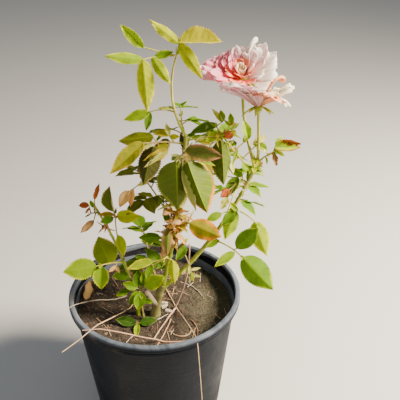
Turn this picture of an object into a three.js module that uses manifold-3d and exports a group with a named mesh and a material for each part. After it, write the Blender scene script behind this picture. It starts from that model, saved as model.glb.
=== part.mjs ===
// A rose bush in a black nursery pot: a main stem that forks into two canes, a third cane beside it,
// sprays of compound leaves, and two open blooms above the right cane.
// Millimetres, +Z up, the origin at the middle of the pot's flat underside. The bush is seen from -Y, so
// +X is to the viewer's right. Azimuths run from +X towards +Y, and a rise of 90 degrees is straight up.
import * as THREE from "three";
import { mergeVertices } from "three/addons/utils/BufferGeometryUtils.js";
import Module from "manifold-3d";

const wasm = await Module();
wasm.setup();

const DEGREE = Math.PI / 180;
const GOLDEN_ANGLE = 137.508;
const CLEARANCE = 0.3;

// The pot is a trade number 3 nursery container, filled to a hand's width below its rolled rim.
const POT = {
  height: 235,
  rimRadius: 140,
  lipHeight: 11,
  lipRound: 2.5,
  neckRadius: 134,
  shoulderRadius: 136,
  shoulderTop: 221,
  shoulderFoot: 213,
  bodyRadius: 131,
  baseRadius: 107,
  heelHeight: 5,
  wall: 2.4,
  floor: 3,
  sides: 44,
};
const DRAIN = { count: 8, width: 22, height: 12, depth: 12 };
const SOIL = { top: 201, bank: 7, levelRadius: 62, sides: 40, rings: 5, lump: 1.6, lumpWaves: [0.11, 0.13] };

const FINISHES = {
  pot: { color: 0x25282d, roughness: 0.55 },
  soil: { color: 0x4b3d2f, roughness: 1 },
  stem: { color: 0x7f8c48, roughness: 0.7 },
  cane: { color: 0x93a63f, roughness: 0.6 },
  leaf: { color: 0x5f8f2a, roughness: 0.6 },
  olive: { color: 0x66702c, roughness: 0.65 },
  yellow: { color: 0xa9bb32, roughness: 0.6 },
  pink: { color: 0xf0899d, roughness: 0.6 },
  cream: { color: 0xf5d8c2, roughness: 0.6 },
};

// Limbs. Each is one arc: its azimuth changes by turn and its rise by climb, evenly over its length.
const LIMBS = [
  {
    name: "main_stem",
    foot: [1, -24],
    azimuth: 14,
    rise: 86,
    climb: -18,
    length: 62,
    radii: [7, 5.6],
    flare: 2.6,
    sides: 10,
    finish: "stem",
  },
  {
    name: "pruned_stub",
    on: "main_stem",
    at: 0.4,
    azimuth: 212,
    rise: 48,
    climb: 22,
    length: 33,
    radii: [5.4, 4.9],
    sides: 8,
    finish: "stem",
  },
  {
    name: "center_cane",
    on: "main_stem",
    at: 1,
    azimuth: 4,
    rise: 76,
    climb: 10,
    turn: 12,
    length: 258,
    radii: [3.7, 2.4],
    sides: 7,
    finish: "cane",
  },
  {
    name: "right_cane",
    on: "main_stem",
    at: 0.84,
    azimuth: 7,
    rise: 42,
    climb: 26,
    turn: 8,
    length: 264,
    radii: [3.6, 2.6],
    sides: 7,
    finish: "cane",
  },
  {
    name: "left_cane",
    foot: [-26, -26],
    azimuth: 176,
    rise: 86,
    climb: -22,
    length: 216,
    radii: [2.9, 1.7],
    flare: 0.8,
    sides: 7,
    finish: "cane",
  },
];

// Sprays. Each is one shoot and its compound leaves. A leaf has a stalk that leaves the shoot at a share of
// its length, and blades of [share of the stalk, azimuth, rise, length] with a width where it isn't the usual
// share of the length. Upper faces turn to the face, an [azimuth, rise]. A spray that grows has its leaves
// set round it by rule.
const SPRAYS = [
  {
    name: "top_shoot",
    on: "center_cane",
    at: 1,
    azimuth: 187,
    rise: 60,
    climb: 50,
    length: 119,
    radii: [2.1, 1.2],
    finish: "yellow",
    face: [275, 25],
    slim: 0.42,
    leaves: [
      { at: 0.32, azimuth: 163, rise: -6, stalk: 31, blades: [[1, 169, -38, 32, 0.6], [0.7, 215, -20, 17]] },
      {
        at: 0.98,
        azimuth: 207,
        rise: 16,
        climb: -20,
        stalk: 42,
        blades: [
          [0.95, 170, 39, 37], [1, 198, 8, 49],
          [0.98, 275, -66, 62], [0.75, 311, -33, 39], [0.5, 8, 30, 22],
        ],
      },
      {
        at: 1,
        azimuth: 350,
        rise: 60,
        stalk: 17,
        blades: [[1, 196, 41, 49], [1, 338, -1, 53], [1, 317, -43, 51]],
      },
    ],
  },
  {
    name: "crown_left_spray",
    on: "center_cane",
    at: 0.95,
    azimuth: 197,
    rise: 20,
    climb: -22,
    length: 54,
    radii: [1.5, 1.1],
    finish: "olive",
    face: [280, 40],
    leaves: [
      { at: 0.9, azimuth: 200, rise: 10, stalk: 12, blades: [[1, 210, -36, 60, 0.5], [0.5, 161, -10, 48]] },
      { at: 1, azimuth: 240, rise: -20, stalk: 7, blades: [[1, 245, -72, 56, 0.65]] },
      { at: 0.4, azimuth: 150, rise: 35, stalk: 12, blades: [[1, 178, 20, 24], [1, 110, 40, 24]] },
    ],
  },
  {
    name: "crown_front_spray",
    on: "center_cane",
    at: 0.9,
    azimuth: 262,
    rise: 14,
    climb: -20,
    length: 20,
    radii: [1.5, 1.1],
    finish: "leaf",
    face: [280, 30],
    leaves: [
      { at: 0.8, azimuth: 225, rise: 10, stalk: 5, blades: [[1, 225, -12, 50]] },
      { at: 0.8, azimuth: 340, rise: 10, stalk: 8, blades: [[1, 339, -2, 58, 0.5]] },
      { at: 1, azimuth: 265, rise: -30, stalk: 8, blades: [[1, 277, -62, 68, 0.62]] },
      { at: 1, azimuth: 315, rise: -10, stalk: 8, blades: [[1, 311, -54, 80, 0.62]] },
    ],
  },
  {
    name: "crown_right_spray",
    on: "center_cane",
    at: 0.97,
    azimuth: 5,
    rise: 14,
    climb: -16,
    length: 50,
    radii: [1.5, 1.1],
    finish: "leaf",
    face: [290, 40],
    leaves: [
      { at: 1, azimuth: 330, rise: -20, stalk: 6, blades: [[1, 296, -74, 70, 0.48]] },
      { at: 0.9, azimuth: 350, rise: 30, stalk: 6, blades: [[1, 344, 14, 30]] },
      { at: 0.5, azimuth: 20, rise: 50, stalk: 8, blades: [[1, 30, 50, 24], [0.9, 240, 20, 26]] },
    ],
  },
  {
    name: "inner_spray",
    on: "center_cane",
    at: 0.5,
    azimuth: 300,
    rise: 12,
    climb: -12,
    length: 30,
    radii: [1.3, 1],
    finish: "olive",
    face: [290, 40],
    leaves: [
      { at: 1, azimuth: 310, rise: 0, stalk: 5, blades: [[1, 329, -12, 52, 0.55]] },
      { at: 0.7, azimuth: 240, rise: 10, stalk: 7, blades: [[1, 220, 12, 32]] },
      { at: 0.7, azimuth: 262, rise: -30, stalk: 9, blades: [[1, 262, -66, 44, 0.5]] },
    ],
  },
  {
    name: "fork_spray",
    on: "center_cane",
    at: 0.22,
    azimuth: 250,
    rise: 30,
    climb: -20,
    length: 26,
    radii: [1.3, 1],
    finish: "leaf",
    face: [280, 40],
    leaves: [
      { at: 1, azimuth: 196, rise: 40, stalk: 12, blades: [[1, 205, 22, 40]] },
      { at: 0.9, azimuth: 300, rise: -20, stalk: 10, blades: [[1, 290, -58, 40]] },
      { at: 0.5, azimuth: 176, rise: -20, stalk: 14, blades: [[1, 159, 48, 40]] },
    ],
  },
  {
    name: "fork_right_spray",
    on: "center_cane",
    at: 0.28,
    azimuth: 340,
    rise: 34,
    climb: -20,
    length: 16,
    radii: [1.2, 0.9],
    finish: "leaf",
    face: [290, 40],
    leaves: [
      { at: 1, azimuth: 350, rise: 20, stalk: 5, blades: [[1, 356, 30, 28]] },
      { at: 0.8, azimuth: 280, rise: -10, stalk: 6, blades: [[1, 285, -30, 26]] },
    ],
  },
  {
    name: "right_low_spray",
    on: "right_cane",
    at: 0.45,
    azimuth: 318,
    rise: 12,
    climb: -40,
    length: 62,
    radii: [1.3, 1],
    finish: "leaf",
    face: [280, 30],
    leaves: [
      { at: 1, azimuth: 322, rise: -30, stalk: 4, blades: [[1, 322, -33, 68, 0.55]] },
      { at: 0.74, azimuth: 0, rise: 30, stalk: 5, blades: [[1, 343, 53, 54]] },
      { at: 0.74, azimuth: 240, rise: 0, stalk: 5, blades: [[1, 214, -19, 38]] },
    ],
  },
  {
    name: "right_middle_spray",
    on: "right_cane",
    at: 0.64,
    azimuth: 326,
    rise: -4,
    climb: -44,
    length: 46,
    radii: [1.3, 1],
    finish: "yellow",
    face: [280, 30],
    leaves: [
      { at: 1, azimuth: 318, rise: -40, stalk: 4, blades: [[1, 316, -61, 56, 0.5]] },
      { at: 0.9, azimuth: 10, rise: -10, stalk: 5, blades: [[1, 6, 0, 32]] },
      { at: 0.3, azimuth: 250, rise: -10, stalk: 10, blades: [[1, 232, -40, 36], [0.4, 205, -20, 34]] },
    ],
  },
  {
    name: "right_upper_spray",
    on: "right_cane",
    at: 0.8,
    azimuth: 205,
    rise: 26,
    climb: -30,
    length: 20,
    radii: [1.2, 1],
    finish: "leaf",
    face: [285, 40],
    leaves: [
      { at: 1, azimuth: 215, rise: -30, stalk: 6, blades: [[1, 222, -40, 36]] },
      { at: 0.8, azimuth: 180, rise: 20, stalk: 5, blades: [[1, 190, 30, 30]] },
      { at: 0.6, azimuth: 270, rise: 0, stalk: 6, blades: [[1, 250, -66, 32]] },
    ],
  },
  {
    name: "right_tip_spray",
    on: "right_cane",
    at: 0.96,
    azimuth: 350,
    rise: 44,
    climb: -26,
    length: 26,
    radii: [1.4, 1.1],
    finish: "leaf",
    face: [290, 45],
    leaves: [
      { at: 1, azimuth: 346, rise: 10, stalk: 4, blades: [[1, 346, 4, 38, 0.7]] },
      { at: 0.9, azimuth: 40, rise: 30, stalk: 5, blades: [[1, 46, 20, 28]] },
      { at: 0.8, azimuth: 280, rise: -10, stalk: 5, blades: [[1, 290, -50, 26]] },
    ],
  },
  {
    name: "bud_spray",
    on: "right_cane",
    at: 0.9,
    azimuth: 192,
    rise: 50,
    climb: 8,
    length: 86,
    radii: [1.5, 1.1],
    finish: "yellow",
    face: [275, 40],
    leaves: [
      { at: 1, azimuth: 190, rise: 10, stalk: 6, blades: [[1, 168, -24, 42, 0.5]] },
      { at: 0.96, azimuth: 20, rise: 70, stalk: 10, blades: [[1, 60, 74, 18], [1, 250, 60, 16]] },
      { at: 0.66, azimuth: 150, rise: 60, stalk: 12, blades: [[1, 120, 74, 16], [1, 300, 60, 16]] },
      { at: 0.55, azimuth: 40, rise: 10, stalk: 8, blades: [[1, 30, 0, 28]] },
      { at: 0.3, azimuth: 215, rise: 0, stalk: 10, blades: [[1, 200, 10, 30], [0.4, 262, -30, 24]] },
    ],
  },
  {
    name: "left_low_spray",
    on: "left_cane",
    at: 0.5,
    azimuth: 222,
    rise: 30,
    climb: -20,
    length: 42,
    radii: [1.3, 1],
    finish: "yellow",
    face: [265, 35],
    leaves: [
      { at: 1, azimuth: 205, rise: 4, stalk: 5, blades: [[1, 199, 2, 48]] },
      { at: 0.98, azimuth: 255, rise: -20, stalk: 4, blades: [[1, 267, -54, 36, 0.7]] },
      { at: 0.8, azimuth: 120, rise: 50, stalk: 5, blades: [[1, 109, 80, 46, 0.8]] },
      { at: 0.4, azimuth: 262, rise: -10, stalk: 12, blades: [[1, 285, -24, 30]] },
    ],
  },
  {
    name: "left_tall_spray",
    on: "left_cane",
    at: 0.5,
    azimuth: 285,
    rise: 76,
    climb: 18,
    length: 84,
    radii: [1.3, 1],
    finish: "olive",
    face: [265, 20],
    slim: 0.55,
    leaves: [
      { at: 1, azimuth: 200, rise: 80, stalk: 3, blades: [[1, 180, 84, 43]] },
      { at: 0.88, azimuth: 340, rise: 30, stalk: 4, blades: [[1, 338, 9, 40]] },
      { at: 0.9, azimuth: 200, rise: 10, stalk: 4, blades: [[1, 207, -12, 32]] },
      { at: 0.3, azimuth: 330, rise: 50, stalk: 5, blades: [[1, 60, 78, 30]] },
    ],
  },
  {
    name: "left_tip_spray",
    on: "left_cane",
    at: 0.93,
    azimuth: 200,
    rise: 30,
    climb: -40,
    length: 14,
    radii: [1.1, 0.9],
    finish: "olive",
    face: [270, 40],
    slim: 0.4,
    leaves: [
      { at: 1, azimuth: 200, rise: -30, stalk: 4, blades: [[1, 205, -50, 24]] },
      { at: 0.7, azimuth: 270, rise: 40, stalk: 5, blades: [[1, 280, 60, 20]] },
    ],
  },
  {
    name: "base_left_spray",
    foot: [-17, -36],
    azimuth: 190,
    rise: 86,
    climb: 6,
    length: 66,
    radii: [1.6, 1.1],
    finish: "leaf",
    face: [275, 45],
    leaves: [
      { at: 1, azimuth: 190, rise: 50, stalk: 8, blades: [[1, 190, 22, 30]] },
      { at: 1, azimuth: 80, rise: 60, stalk: 5, blades: [[1, 90, 50, 32]] },
      { at: 0.92, azimuth: 340, rise: 40, stalk: 10, blades: [[1, 350, 8, 34]] },
      { at: 0.72, azimuth: 215, rise: 10, stalk: 8, blades: [[1, 200, -10, 22]] },
      { at: 0.66, azimuth: 270, rise: 0, stalk: 7, blades: [[1, 262, -62, 30]] },
      { at: 0.5, azimuth: 320, rise: 10, stalk: 6, blades: [[1, 310, -40, 24]] },
    ],
  },
  {
    name: "ground_sprig",
    foot: [-24, -45],
    azimuth: 260,
    rise: 60,
    climb: -20,
    length: 9,
    radii: [1.3, 1],
    finish: "leaf",
    face: [270, 60],
    leaves: [
      { at: 1, azimuth: 200, rise: 20, stalk: 4, blades: [[1, 189, 4, 30]] },
      { at: 1, azimuth: 350, rise: 20, stalk: 4, blades: [[1, 345, 6, 30]] },
      { at: 1, azimuth: 270, rise: 20, stalk: 4, blades: [[1, 270, 6, 24, 0.5]] },
    ],
  },
  {
    name: "back_low_spray",
    on: "main_stem",
    at: 0.7,
    azimuth: 112,
    rise: 52,
    climb: -14,
    length: 96,
    radii: [1.8, 1.1],
    finish: "leaf",
    face: [90, 50],
    grow: { leaves: 4, seed: 3, stalk: 26, blade: 40, pairs: 2, from: 0.34 },
  },
  {
    name: "back_left_spray",
    on: "center_cane",
    at: 0.42,
    azimuth: 138,
    rise: 52,
    climb: -16,
    length: 88,
    radii: [1.7, 1.1],
    finish: "olive",
    face: [120, 45],
    grow: { leaves: 4, seed: 1, stalk: 26, blade: 40, pairs: 2, from: 0.4 },
  },
  {
    name: "back_right_spray",
    on: "center_cane",
    at: 0.62,
    azimuth: 48,
    rise: 50,
    climb: -16,
    length: 96,
    radii: [1.7, 1.1],
    finish: "leaf",
    face: [70, 45],
    grow: { leaves: 4, seed: 3, stalk: 26, blade: 42, pairs: 2, from: 0.34 },
  },
  {
    name: "back_crown_spray",
    on: "center_cane",
    at: 0.82,
    azimuth: 94,
    rise: 54,
    climb: -20,
    length: 78,
    radii: [1.6, 1.1],
    finish: "leaf",
    face: [100, 45],
    grow: { leaves: 4, seed: 2, stalk: 22, blade: 40, pairs: 1, from: 0.42 },
  },
  {
    name: "right_back_spray",
    on: "right_cane",
    at: 0.6,
    azimuth: 66,
    rise: 40,
    climb: -18,
    length: 70,
    radii: [1.5, 1],
    finish: "leaf",
    face: [70, 45],
    grow: { leaves: 4, seed: 1, stalk: 24, blade: 40, pairs: 1, from: 0.38 },
  },
];

// Blooms. Petals stand on a hip at the end of a flower stalk, the inner ones upright and short, the outer
// ones long, wide and laid open. Open angles are from the bloom's axis.
const BLOOMS = [
  {
    name: "upper_bloom",
    on: "right_cane",
    at: 0.96,
    azimuth: 142,
    rise: 66,
    climb: 26,
    length: 144,
    radii: [2.2, 2],
    finish: "pink",
    nod: [215, 76],
    hip: 7,
    petals: 16,
    petal: { length: [26, 54], width: [24, 62], open: [-4, 62], curl: [14, 30] },
  },
  {
    name: "lower_bloom",
    on: "right_cane",
    at: 1,
    azimuth: 255,
    rise: 84,
    climb: -16,
    length: 100,
    radii: [2.2, 2],
    finish: "cream",
    nod: [190, 70],
    hip: 6,
    petals: 12,
    petal: { length: [24, 45], width: [22, 54], open: [4, 62], curl: [14, 30] },
  },
];

const LIMB_STEPS = 9;
const FLARE_HEIGHT = 9;
const FOOT_DEPTH = 3;
const SHOOT_STEPS = 4;
const SHOOT_SIDES = 5;
const LEAF = {
  rings: [0, 0.16, 0.48, 0.8, 1],
  outline: [0, 0.66, 1, 0.62, 0],
  width: 0.6,
  thickness: 0.022,
  fold: 0.22,
  sag: 0.14,
  sunk: 0.4,
  stalkRadii: [1.1, 0.9],
  stalkSides: 3,
  stalkSteps: 2,
};
// Grown leaves swing out from their shoot, on alternate sides. A leaf's first pair of blades is nearer its
// tip, and each pair after it is further back and smaller.
const FAN = {
  swing: [45, 90],
  rise: [24, 46],
  climb: [-34, -50],
  stalk: [0.85, 1.15],
  blade: [0.9, 1.1],
  pairAt: [0.82, 0.4],
  pairSize: [0.82, 0.68],
  pairSwing: [62, 76],
  pairDip: 8,
};
// Petals. The crowding is how fast they open from the innermost out, and the seats are shares of the hip.
const PETAL = {
  points: 8,
  rings: 4,
  thickness: 1.1,
  broad: 0.45,
  core: 9,
  root: 2,
  tuck: 0.09,
  crowding: 0.75,
  seats: [0.5, -0.1],
};
const HIP = { sides: 8, rings: 6, long: 1.3 };

function direction(azimuth, rise) {
  const level = Math.cos(rise * DEGREE);
  return new THREE.Vector3(
    level * Math.cos(azimuth * DEGREE),
    level * Math.sin(azimuth * DEGREE),
    Math.sin(rise * DEGREE),
  );
}

// The same sequence for the same seed, from 0 to 1.
function seeded(seed) {
  let state = seed;
  return () => {
    state = (state * 16807) % 2147483647;
    return state / 2147483647;
  };
}

// A place with its own forward, left and up, where the azimuth and the rise are forward's.
function placeAt(position, azimuth, rise) {
  const forward = direction(azimuth, rise);
  const left = new THREE.Vector3(-Math.sin(azimuth * DEGREE), Math.cos(azimuth * DEGREE), 0);
  const up = new THREE.Vector3().crossVectors(forward, left);
  return { position: position.clone(), forward, left, up };
}

// A place that looks along an azimuth and rise, turned so that up leans to the face.
function placeFacing(position, azimuth, rise, face) {
  const forward = direction(azimuth, rise);
  const left = new THREE.Vector3().crossVectors(face, forward).normalize();
  const up = new THREE.Vector3().crossVectors(forward, left);
  return { position: position.clone(), forward, left, up };
}

function local(place, forward, left, up) {
  return place.position
    .clone()
    .addScaledVector(place.forward, forward)
    .addScaledVector(place.left, left)
    .addScaledVector(place.up, up);
}

// Places along an arc, from its foot to its tip.
function arc(from, { azimuth, rise, climb = 0, turn = 0, length }, steps) {
  const position = from.clone();
  const places = [];
  for (let step = 0; step <= steps; step++) {
    const share = step / steps;
    places.push(placeAt(position, azimuth + turn * share, rise + climb * share));
    const middle = (step + 0.5) / steps;
    position.addScaledVector(direction(azimuth + turn * middle, rise + climb * middle), length / steps);
  }
  return places;
}

function along(places, share) {
  const steps = places.length - 1;
  const index = Math.min(Math.floor(share * steps), steps - 1);
  const near = places[index];
  return near.position.clone().lerp(places[index + 1].position, share * steps - index);
}

// A closed solid of a geometry's points, each moved by a rule.
function reshaped(geometry, rule) {
  const point = geometry.attributes.position;
  for (let i = 0; i < point.count; i++) {
    const moved = rule(point.getX(i), point.getY(i), point.getZ(i));
    point.setXYZ(i, moved.x, moved.y, moved.z);
  }
  geometry.deleteAttribute("normal");
  geometry.deleteAttribute("uv");
  const merged = mergeVertices(geometry);
  const corners = Array.from(merged.index.array);
  const triangles = [];
  for (let i = 0; i < corners.length; i += 3) {
    const [a, b, c] = corners.slice(i, i + 3);
    if (a !== b && b !== c && c !== a) triangles.push(a, b, c);
  }
  return new wasm.Manifold(
    new wasm.Mesh({
      numProp: 3,
      vertProperties: merged.attributes.position.array,
      triVerts: new Uint32Array(triangles),
    }),
  );
}

// A tube through places. The radius may change with the share of the way along.
function tube(places, radiusAt, sides) {
  const steps = places.length - 1;
  return reshaped(new THREE.CylinderGeometry(1, 1, steps, sides, steps), (x, y, z) => {
    const step = Math.round(y + steps / 2);
    const radius = radiusAt(step / steps);
    return local(places[step], 0, z * radius, x * radius);
  });
}

// A limb's solid, or the space round it that its neighbours keep clear of.
function limbSolid(limb, margin = 0) {
  const { places, radii, flare = 0, length, sides } = limb;
  const [first, last] = [places[0], places[places.length - 1]];
  const longer = [
    { ...first, position: local(first, -margin, 0, 0) },
    ...places.slice(1, -1),
    { ...last, position: local(last, margin, 0, 0) },
  ];
  const radiusAt = (share) => {
    const taper = radii[0] + (radii[1] - radii[0]) * share;
    return taper + flare * Math.exp((-share * length) / FLARE_HEIGHT) + margin / Math.cos(Math.PI / sides);
  };
  return tube(longer, radiusAt, sides);
}

// One leaf blade: a thin lens, ovate, folded up from its midrib and sagging to its tip.
function blade(place, length, width) {
  const last = LEAF.rings.length - 1;
  const root = { ...place, position: local(place, -LEAF.sunk, 0, 0) };
  return reshaped(new THREE.SphereGeometry(1, 4, last), (x, y, z) => {
    const ring = last - Math.round((Math.acos(Math.max(-1, Math.min(1, y))) / Math.PI) * last);
    const share = LEAF.rings[ring];
    const half = (length * width * LEAF.outline[ring]) / 2;
    const thick = (length * LEAF.thickness * LEAF.outline[ring]) / 2;
    const side = Math.round(z);
    const lift = side === 0 ? thick * Math.round(x) : half * LEAF.fold;
    return local(root, length * share, half * side, lift - LEAF.sag * length * share * share);
  });
}

// A compound leaf's pieces: its stalk and its blades.
function compoundLeaf(from, leaf, face, width) {
  const stalk = arc(from, { ...leaf, length: leaf.stalk }, LEAF.stalkSteps);
  const [root, tip] = LEAF.stalkRadii;
  const pieces = [tube(stalk, (share) => root + (tip - root) * share, LEAF.stalkSides)];
  for (const [share, azimuth, rise, length, own] of leaf.blades) {
    pieces.push(blade(placeFacing(along(stalk, share), azimuth, rise, face), length, own ?? width));
  }
  return pieces;
}

// Leaves set on alternate sides of a shoot, with the last at its tip. Each has one blade at its end and
// pairs behind it.
function grownLeaves(spray) {
  const { leaves, seed, stalk, blade: size, pairs, from } = spray.grow;
  const random = seeded(seed);
  const drawn = ([low, high]) => low + (high - low) * random();
  return Array.from({ length: leaves }, (_, i) => {
    const side = i % 2 ? 1 : -1;
    const azimuth = spray.azimuth + (i < leaves - 1 ? side * drawn(FAN.swing) : 0);
    const rise = drawn(FAN.rise);
    const climb = drawn(FAN.climb);
    const reach = stalk * drawn(FAN.stalk);
    const blades = [[1, azimuth, rise + climb, size * drawn(FAN.blade)]];
    for (let pair = 0; pair < pairs; pair++) {
      const share = FAN.pairAt[pair];
      for (const hand of [-1, 1]) {
        const outward = azimuth + hand * drawn(FAN.pairSwing);
        blades.push([share, outward, rise + climb * share - FAN.pairDip, size * FAN.pairSize[pair]]);
      }
    }
    return { at: from + ((1 - from) * i) / (leaves - 1), azimuth, rise, climb, stalk: reach, blades };
  });
}

function union(pieces) {
  return pieces.reduce((whole, piece) => whole.add(piece));
}

// One petal: a thin dish that leans out from the bloom's axis by open, and by curl more at its tip. It wraps
// round the axis, one edge further out than the other, so that each petal tucks under the next.
function petal(axis, azimuth, length, width, open, curl) {
  const bend = (curl * DEGREE) / length;
  return reshaped(new THREE.SphereGeometry(1, PETAL.points, PETAL.rings), (x, y, z) => {
    const corner = (x ** 4 + z ** 4) ** 0.25;
    const square = corner > 0 ? Math.hypot(x, z) / corner : 1;
    const share = (1 + x * square) / 2;
    const lean = open * DEGREE + bend * length * share;
    const out = (Math.cos(open * DEGREE) - Math.cos(lean)) / bend;
    const high = (Math.sin(lean) - Math.sin(open * DEGREE)) / bend;
    const aside = (z * square * width * (1 - PETAL.broad + 2 * PETAL.broad * share)) / 2;
    const thick = (y * PETAL.thickness) / 2;
    const turn = azimuth * DEGREE + aside / (PETAL.core + out);
    const radius = PETAL.root + out + PETAL.tuck * aside + thick * Math.cos(lean);
    return local(axis, high - thick * Math.sin(lean), radius * Math.cos(turn), radius * Math.sin(turn));
  });
}

function bloomPieces(bloom, shoot) {
  const axis = placeAt(shoot[shoot.length - 1].position, ...bloom.nod);
  const hip = new THREE.SphereGeometry(bloom.hip, HIP.sides, HIP.rings);
  const pieces = [reshaped(hip, (x, y, z) => local(axis, y * HIP.long, z, x))];
  const { length, width, open, curl } = bloom.petal;
  for (let i = 0; i < bloom.petals; i++) {
    const share = (i / (bloom.petals - 1)) ** PETAL.crowding;
    const between = ([inner, outer]) => inner + (outer - inner) * share;
    const seat = { ...axis, position: local(axis, bloom.hip * between(PETAL.seats), 0, 0) };
    pieces.push(petal(seat, i * GOLDEN_ANGLE, between(length), between(width), between(open), between(curl)));
  }
  return pieces;
}

function revolved(profile, sides) {
  const points = profile.map(([radius, height]) => new THREE.Vector2(radius, height));
  return reshaped(new THREE.LatheGeometry(points, sides), (x, y, z) => new THREE.Vector3(x, -z, y));
}

// The inner wall's radius at a height, so that the soil keeps its clearance from it.
function innerRadius(height) {
  const { baseRadius, bodyRadius, shoulderFoot, wall } = POT;
  return baseRadius + ((bodyRadius - baseRadius) * height) / shoulderFoot - wall;
}

function potSolid() {
  const p = POT;
  const lipFoot = p.height - p.lipHeight;
  const profile = [
    [0, 0],
    [p.baseRadius, 0],
    [p.baseRadius + 1, p.heelHeight],
    [p.bodyRadius, p.shoulderFoot],
    [p.shoulderRadius, p.shoulderFoot + 1],
    [p.shoulderRadius, p.shoulderTop],
    [p.neckRadius, p.shoulderTop + 1],
    [p.neckRadius, lipFoot],
    [p.rimRadius, lipFoot],
    [p.rimRadius, p.height - p.lipRound],
    [p.rimRadius - p.lipRound, p.height],
    [p.neckRadius, p.height],
    [p.neckRadius - p.wall, p.height - p.lipRound],
    [p.neckRadius - p.wall, p.shoulderTop],
    [innerRadius(p.shoulderFoot), p.shoulderFoot - p.wall],
    [innerRadius(p.floor), p.floor],
    [0, p.floor],
  ];
  let pot = revolved(profile, p.sides);
  for (let i = 0; i < DRAIN.count; i++) {
    const cutter = new THREE.BoxGeometry(2 * DRAIN.depth, DRAIN.width, 2 * DRAIN.height);
    cutter.translate(p.baseRadius, 0, 0);
    cutter.rotateZ((i * 2 * Math.PI) / DRAIN.count + Math.PI / DRAIN.count);
    pot = pot.subtract(reshaped(cutter, (x, y, z) => new THREE.Vector3(x, y, z)));
  }
  return pot;
}

// The soil fills the pot. Its top is level round the stems and banks up to the wall, most at the left.
function soilTop(x, y) {
  const radius = Math.hypot(x, y);
  const out = Math.max(0, radius - SOIL.levelRadius) / (innerRadius(SOIL.top) - SOIL.levelRadius);
  const lumps = Math.sin(x * SOIL.lumpWaves[0] + 1) * Math.cos(y * SOIL.lumpWaves[1]) * SOIL.lump;
  const side = 0.5 - (0.5 * x) / innerRadius(SOIL.top);
  return SOIL.top + out * (SOIL.bank * side + lumps);
}

function soilSolid(raise = 0) {
  const floor = POT.floor + CLEARANCE;
  const edge = innerRadius(SOIL.top) - CLEARANCE;
  const profile = [[0, floor], [innerRadius(floor) - 2 * CLEARANCE, floor]];
  for (let ring = 0; ring < SOIL.rings; ring++) {
    const share = ring / (SOIL.rings - 1);
    profile.push([edge - CLEARANCE + (SOIL.levelRadius - edge) * share, SOIL.top]);
  }
  profile.push([0, SOIL.top]);
  const points = profile.map(([radius, height]) => new THREE.Vector2(radius, height));
  return reshaped(new THREE.LatheGeometry(points, SOIL.sides), (x, y, z) => {
    const height = y > floor ? soilTop(x, -z) + raise : y;
    return new THREE.Vector3(x, -z, height);
  });
}

function meshOf(name, solid, finish) {
  const { vertProperties, triVerts } = solid.getMesh();
  const geometry = new THREE.BufferGeometry();
  geometry.setAttribute("position", new THREE.BufferAttribute(vertProperties, 3));
  geometry.setIndex(new THREE.BufferAttribute(triVerts, 1));
  geometry.computeVertexNormals();
  const material = new THREE.MeshStandardMaterial({ metalness: 0, ...FINISHES[finish] });
  const mesh = new THREE.Mesh(geometry, material);
  mesh.name = name;
  return mesh;
}

const bush = new THREE.Group();
const limbs = new Map();
const occupied = [];

function startOf(piece) {
  if (piece.foot) return new THREE.Vector3(piece.foot[0], piece.foot[1], SOIL.top - FOOT_DEPTH);
  return along(limbs.get(piece.on).places, piece.at);
}

// A limb or shoot starts inside what carries it, and its root is cut back to the clearance.
function cutClear(solid, piece) {
  return solid.subtract(piece.on ? limbSolid(limbs.get(piece.on), CLEARANCE) : soilSolid(CLEARANCE));
}

function shootOf(spray) {
  const places = arc(startOf(spray), spray, SHOOT_STEPS);
  const [root, tip] = spray.radii;
  const solid = tube(places, (share) => root + (tip - root) * share, SHOOT_SIDES);
  return { places, solid: cutClear(solid, spray) };
}

function place(name, solid, finish, margin = solid) {
  occupied.push(margin);
  bush.add(meshOf(name, solid, finish));
}

place("pot", potSolid(), "pot");
place("soil", soilSolid(), "soil", soilSolid(CLEARANCE));

for (const limb of LIMBS) {
  limb.places = arc(startOf(limb), limb, LIMB_STEPS);
  const forked = [...limbs.values()].filter((other) => other.on && other.on === limb.on);
  limbs.set(limb.name, limb);
  const solid = forked.reduce((rest, other) => rest.subtract(limbSolid(other, CLEARANCE)), limbSolid(limb));
  place(limb.name, cutClear(solid, limb), limb.finish, limbSolid(limb, CLEARANCE));
}

for (const bloom of BLOOMS) {
  const shoot = shootOf(bloom);
  place(bloom.name, union([shoot.solid, ...bloomPieces(bloom, shoot.places)]), bloom.finish);
}

// A leaf that would cross a limb, a bloom or a spray already in place is left out.
for (const spray of SPRAYS) {
  const shoot = shootOf(spray);
  const face = direction(...spray.face);
  const width = spray.slim ?? LEAF.width;
  let whole = shoot.solid;
  for (const leaf of spray.leaves ?? grownLeaves(spray)) {
    const pieces = compoundLeaf(along(shoot.places, leaf.at), leaf, face, width);
    const crosses = pieces.some((piece) => occupied.some((other) => !piece.intersect(other).isEmpty()));
    if (!crosses) whole = whole.add(union(pieces));
  }
  place(spray.name, whole, spray.finish);
}

export default bush;
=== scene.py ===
import math
import random
from collections import defaultdict, namedtuple

import bpy
import numpy as np
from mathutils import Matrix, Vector, noise


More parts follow.
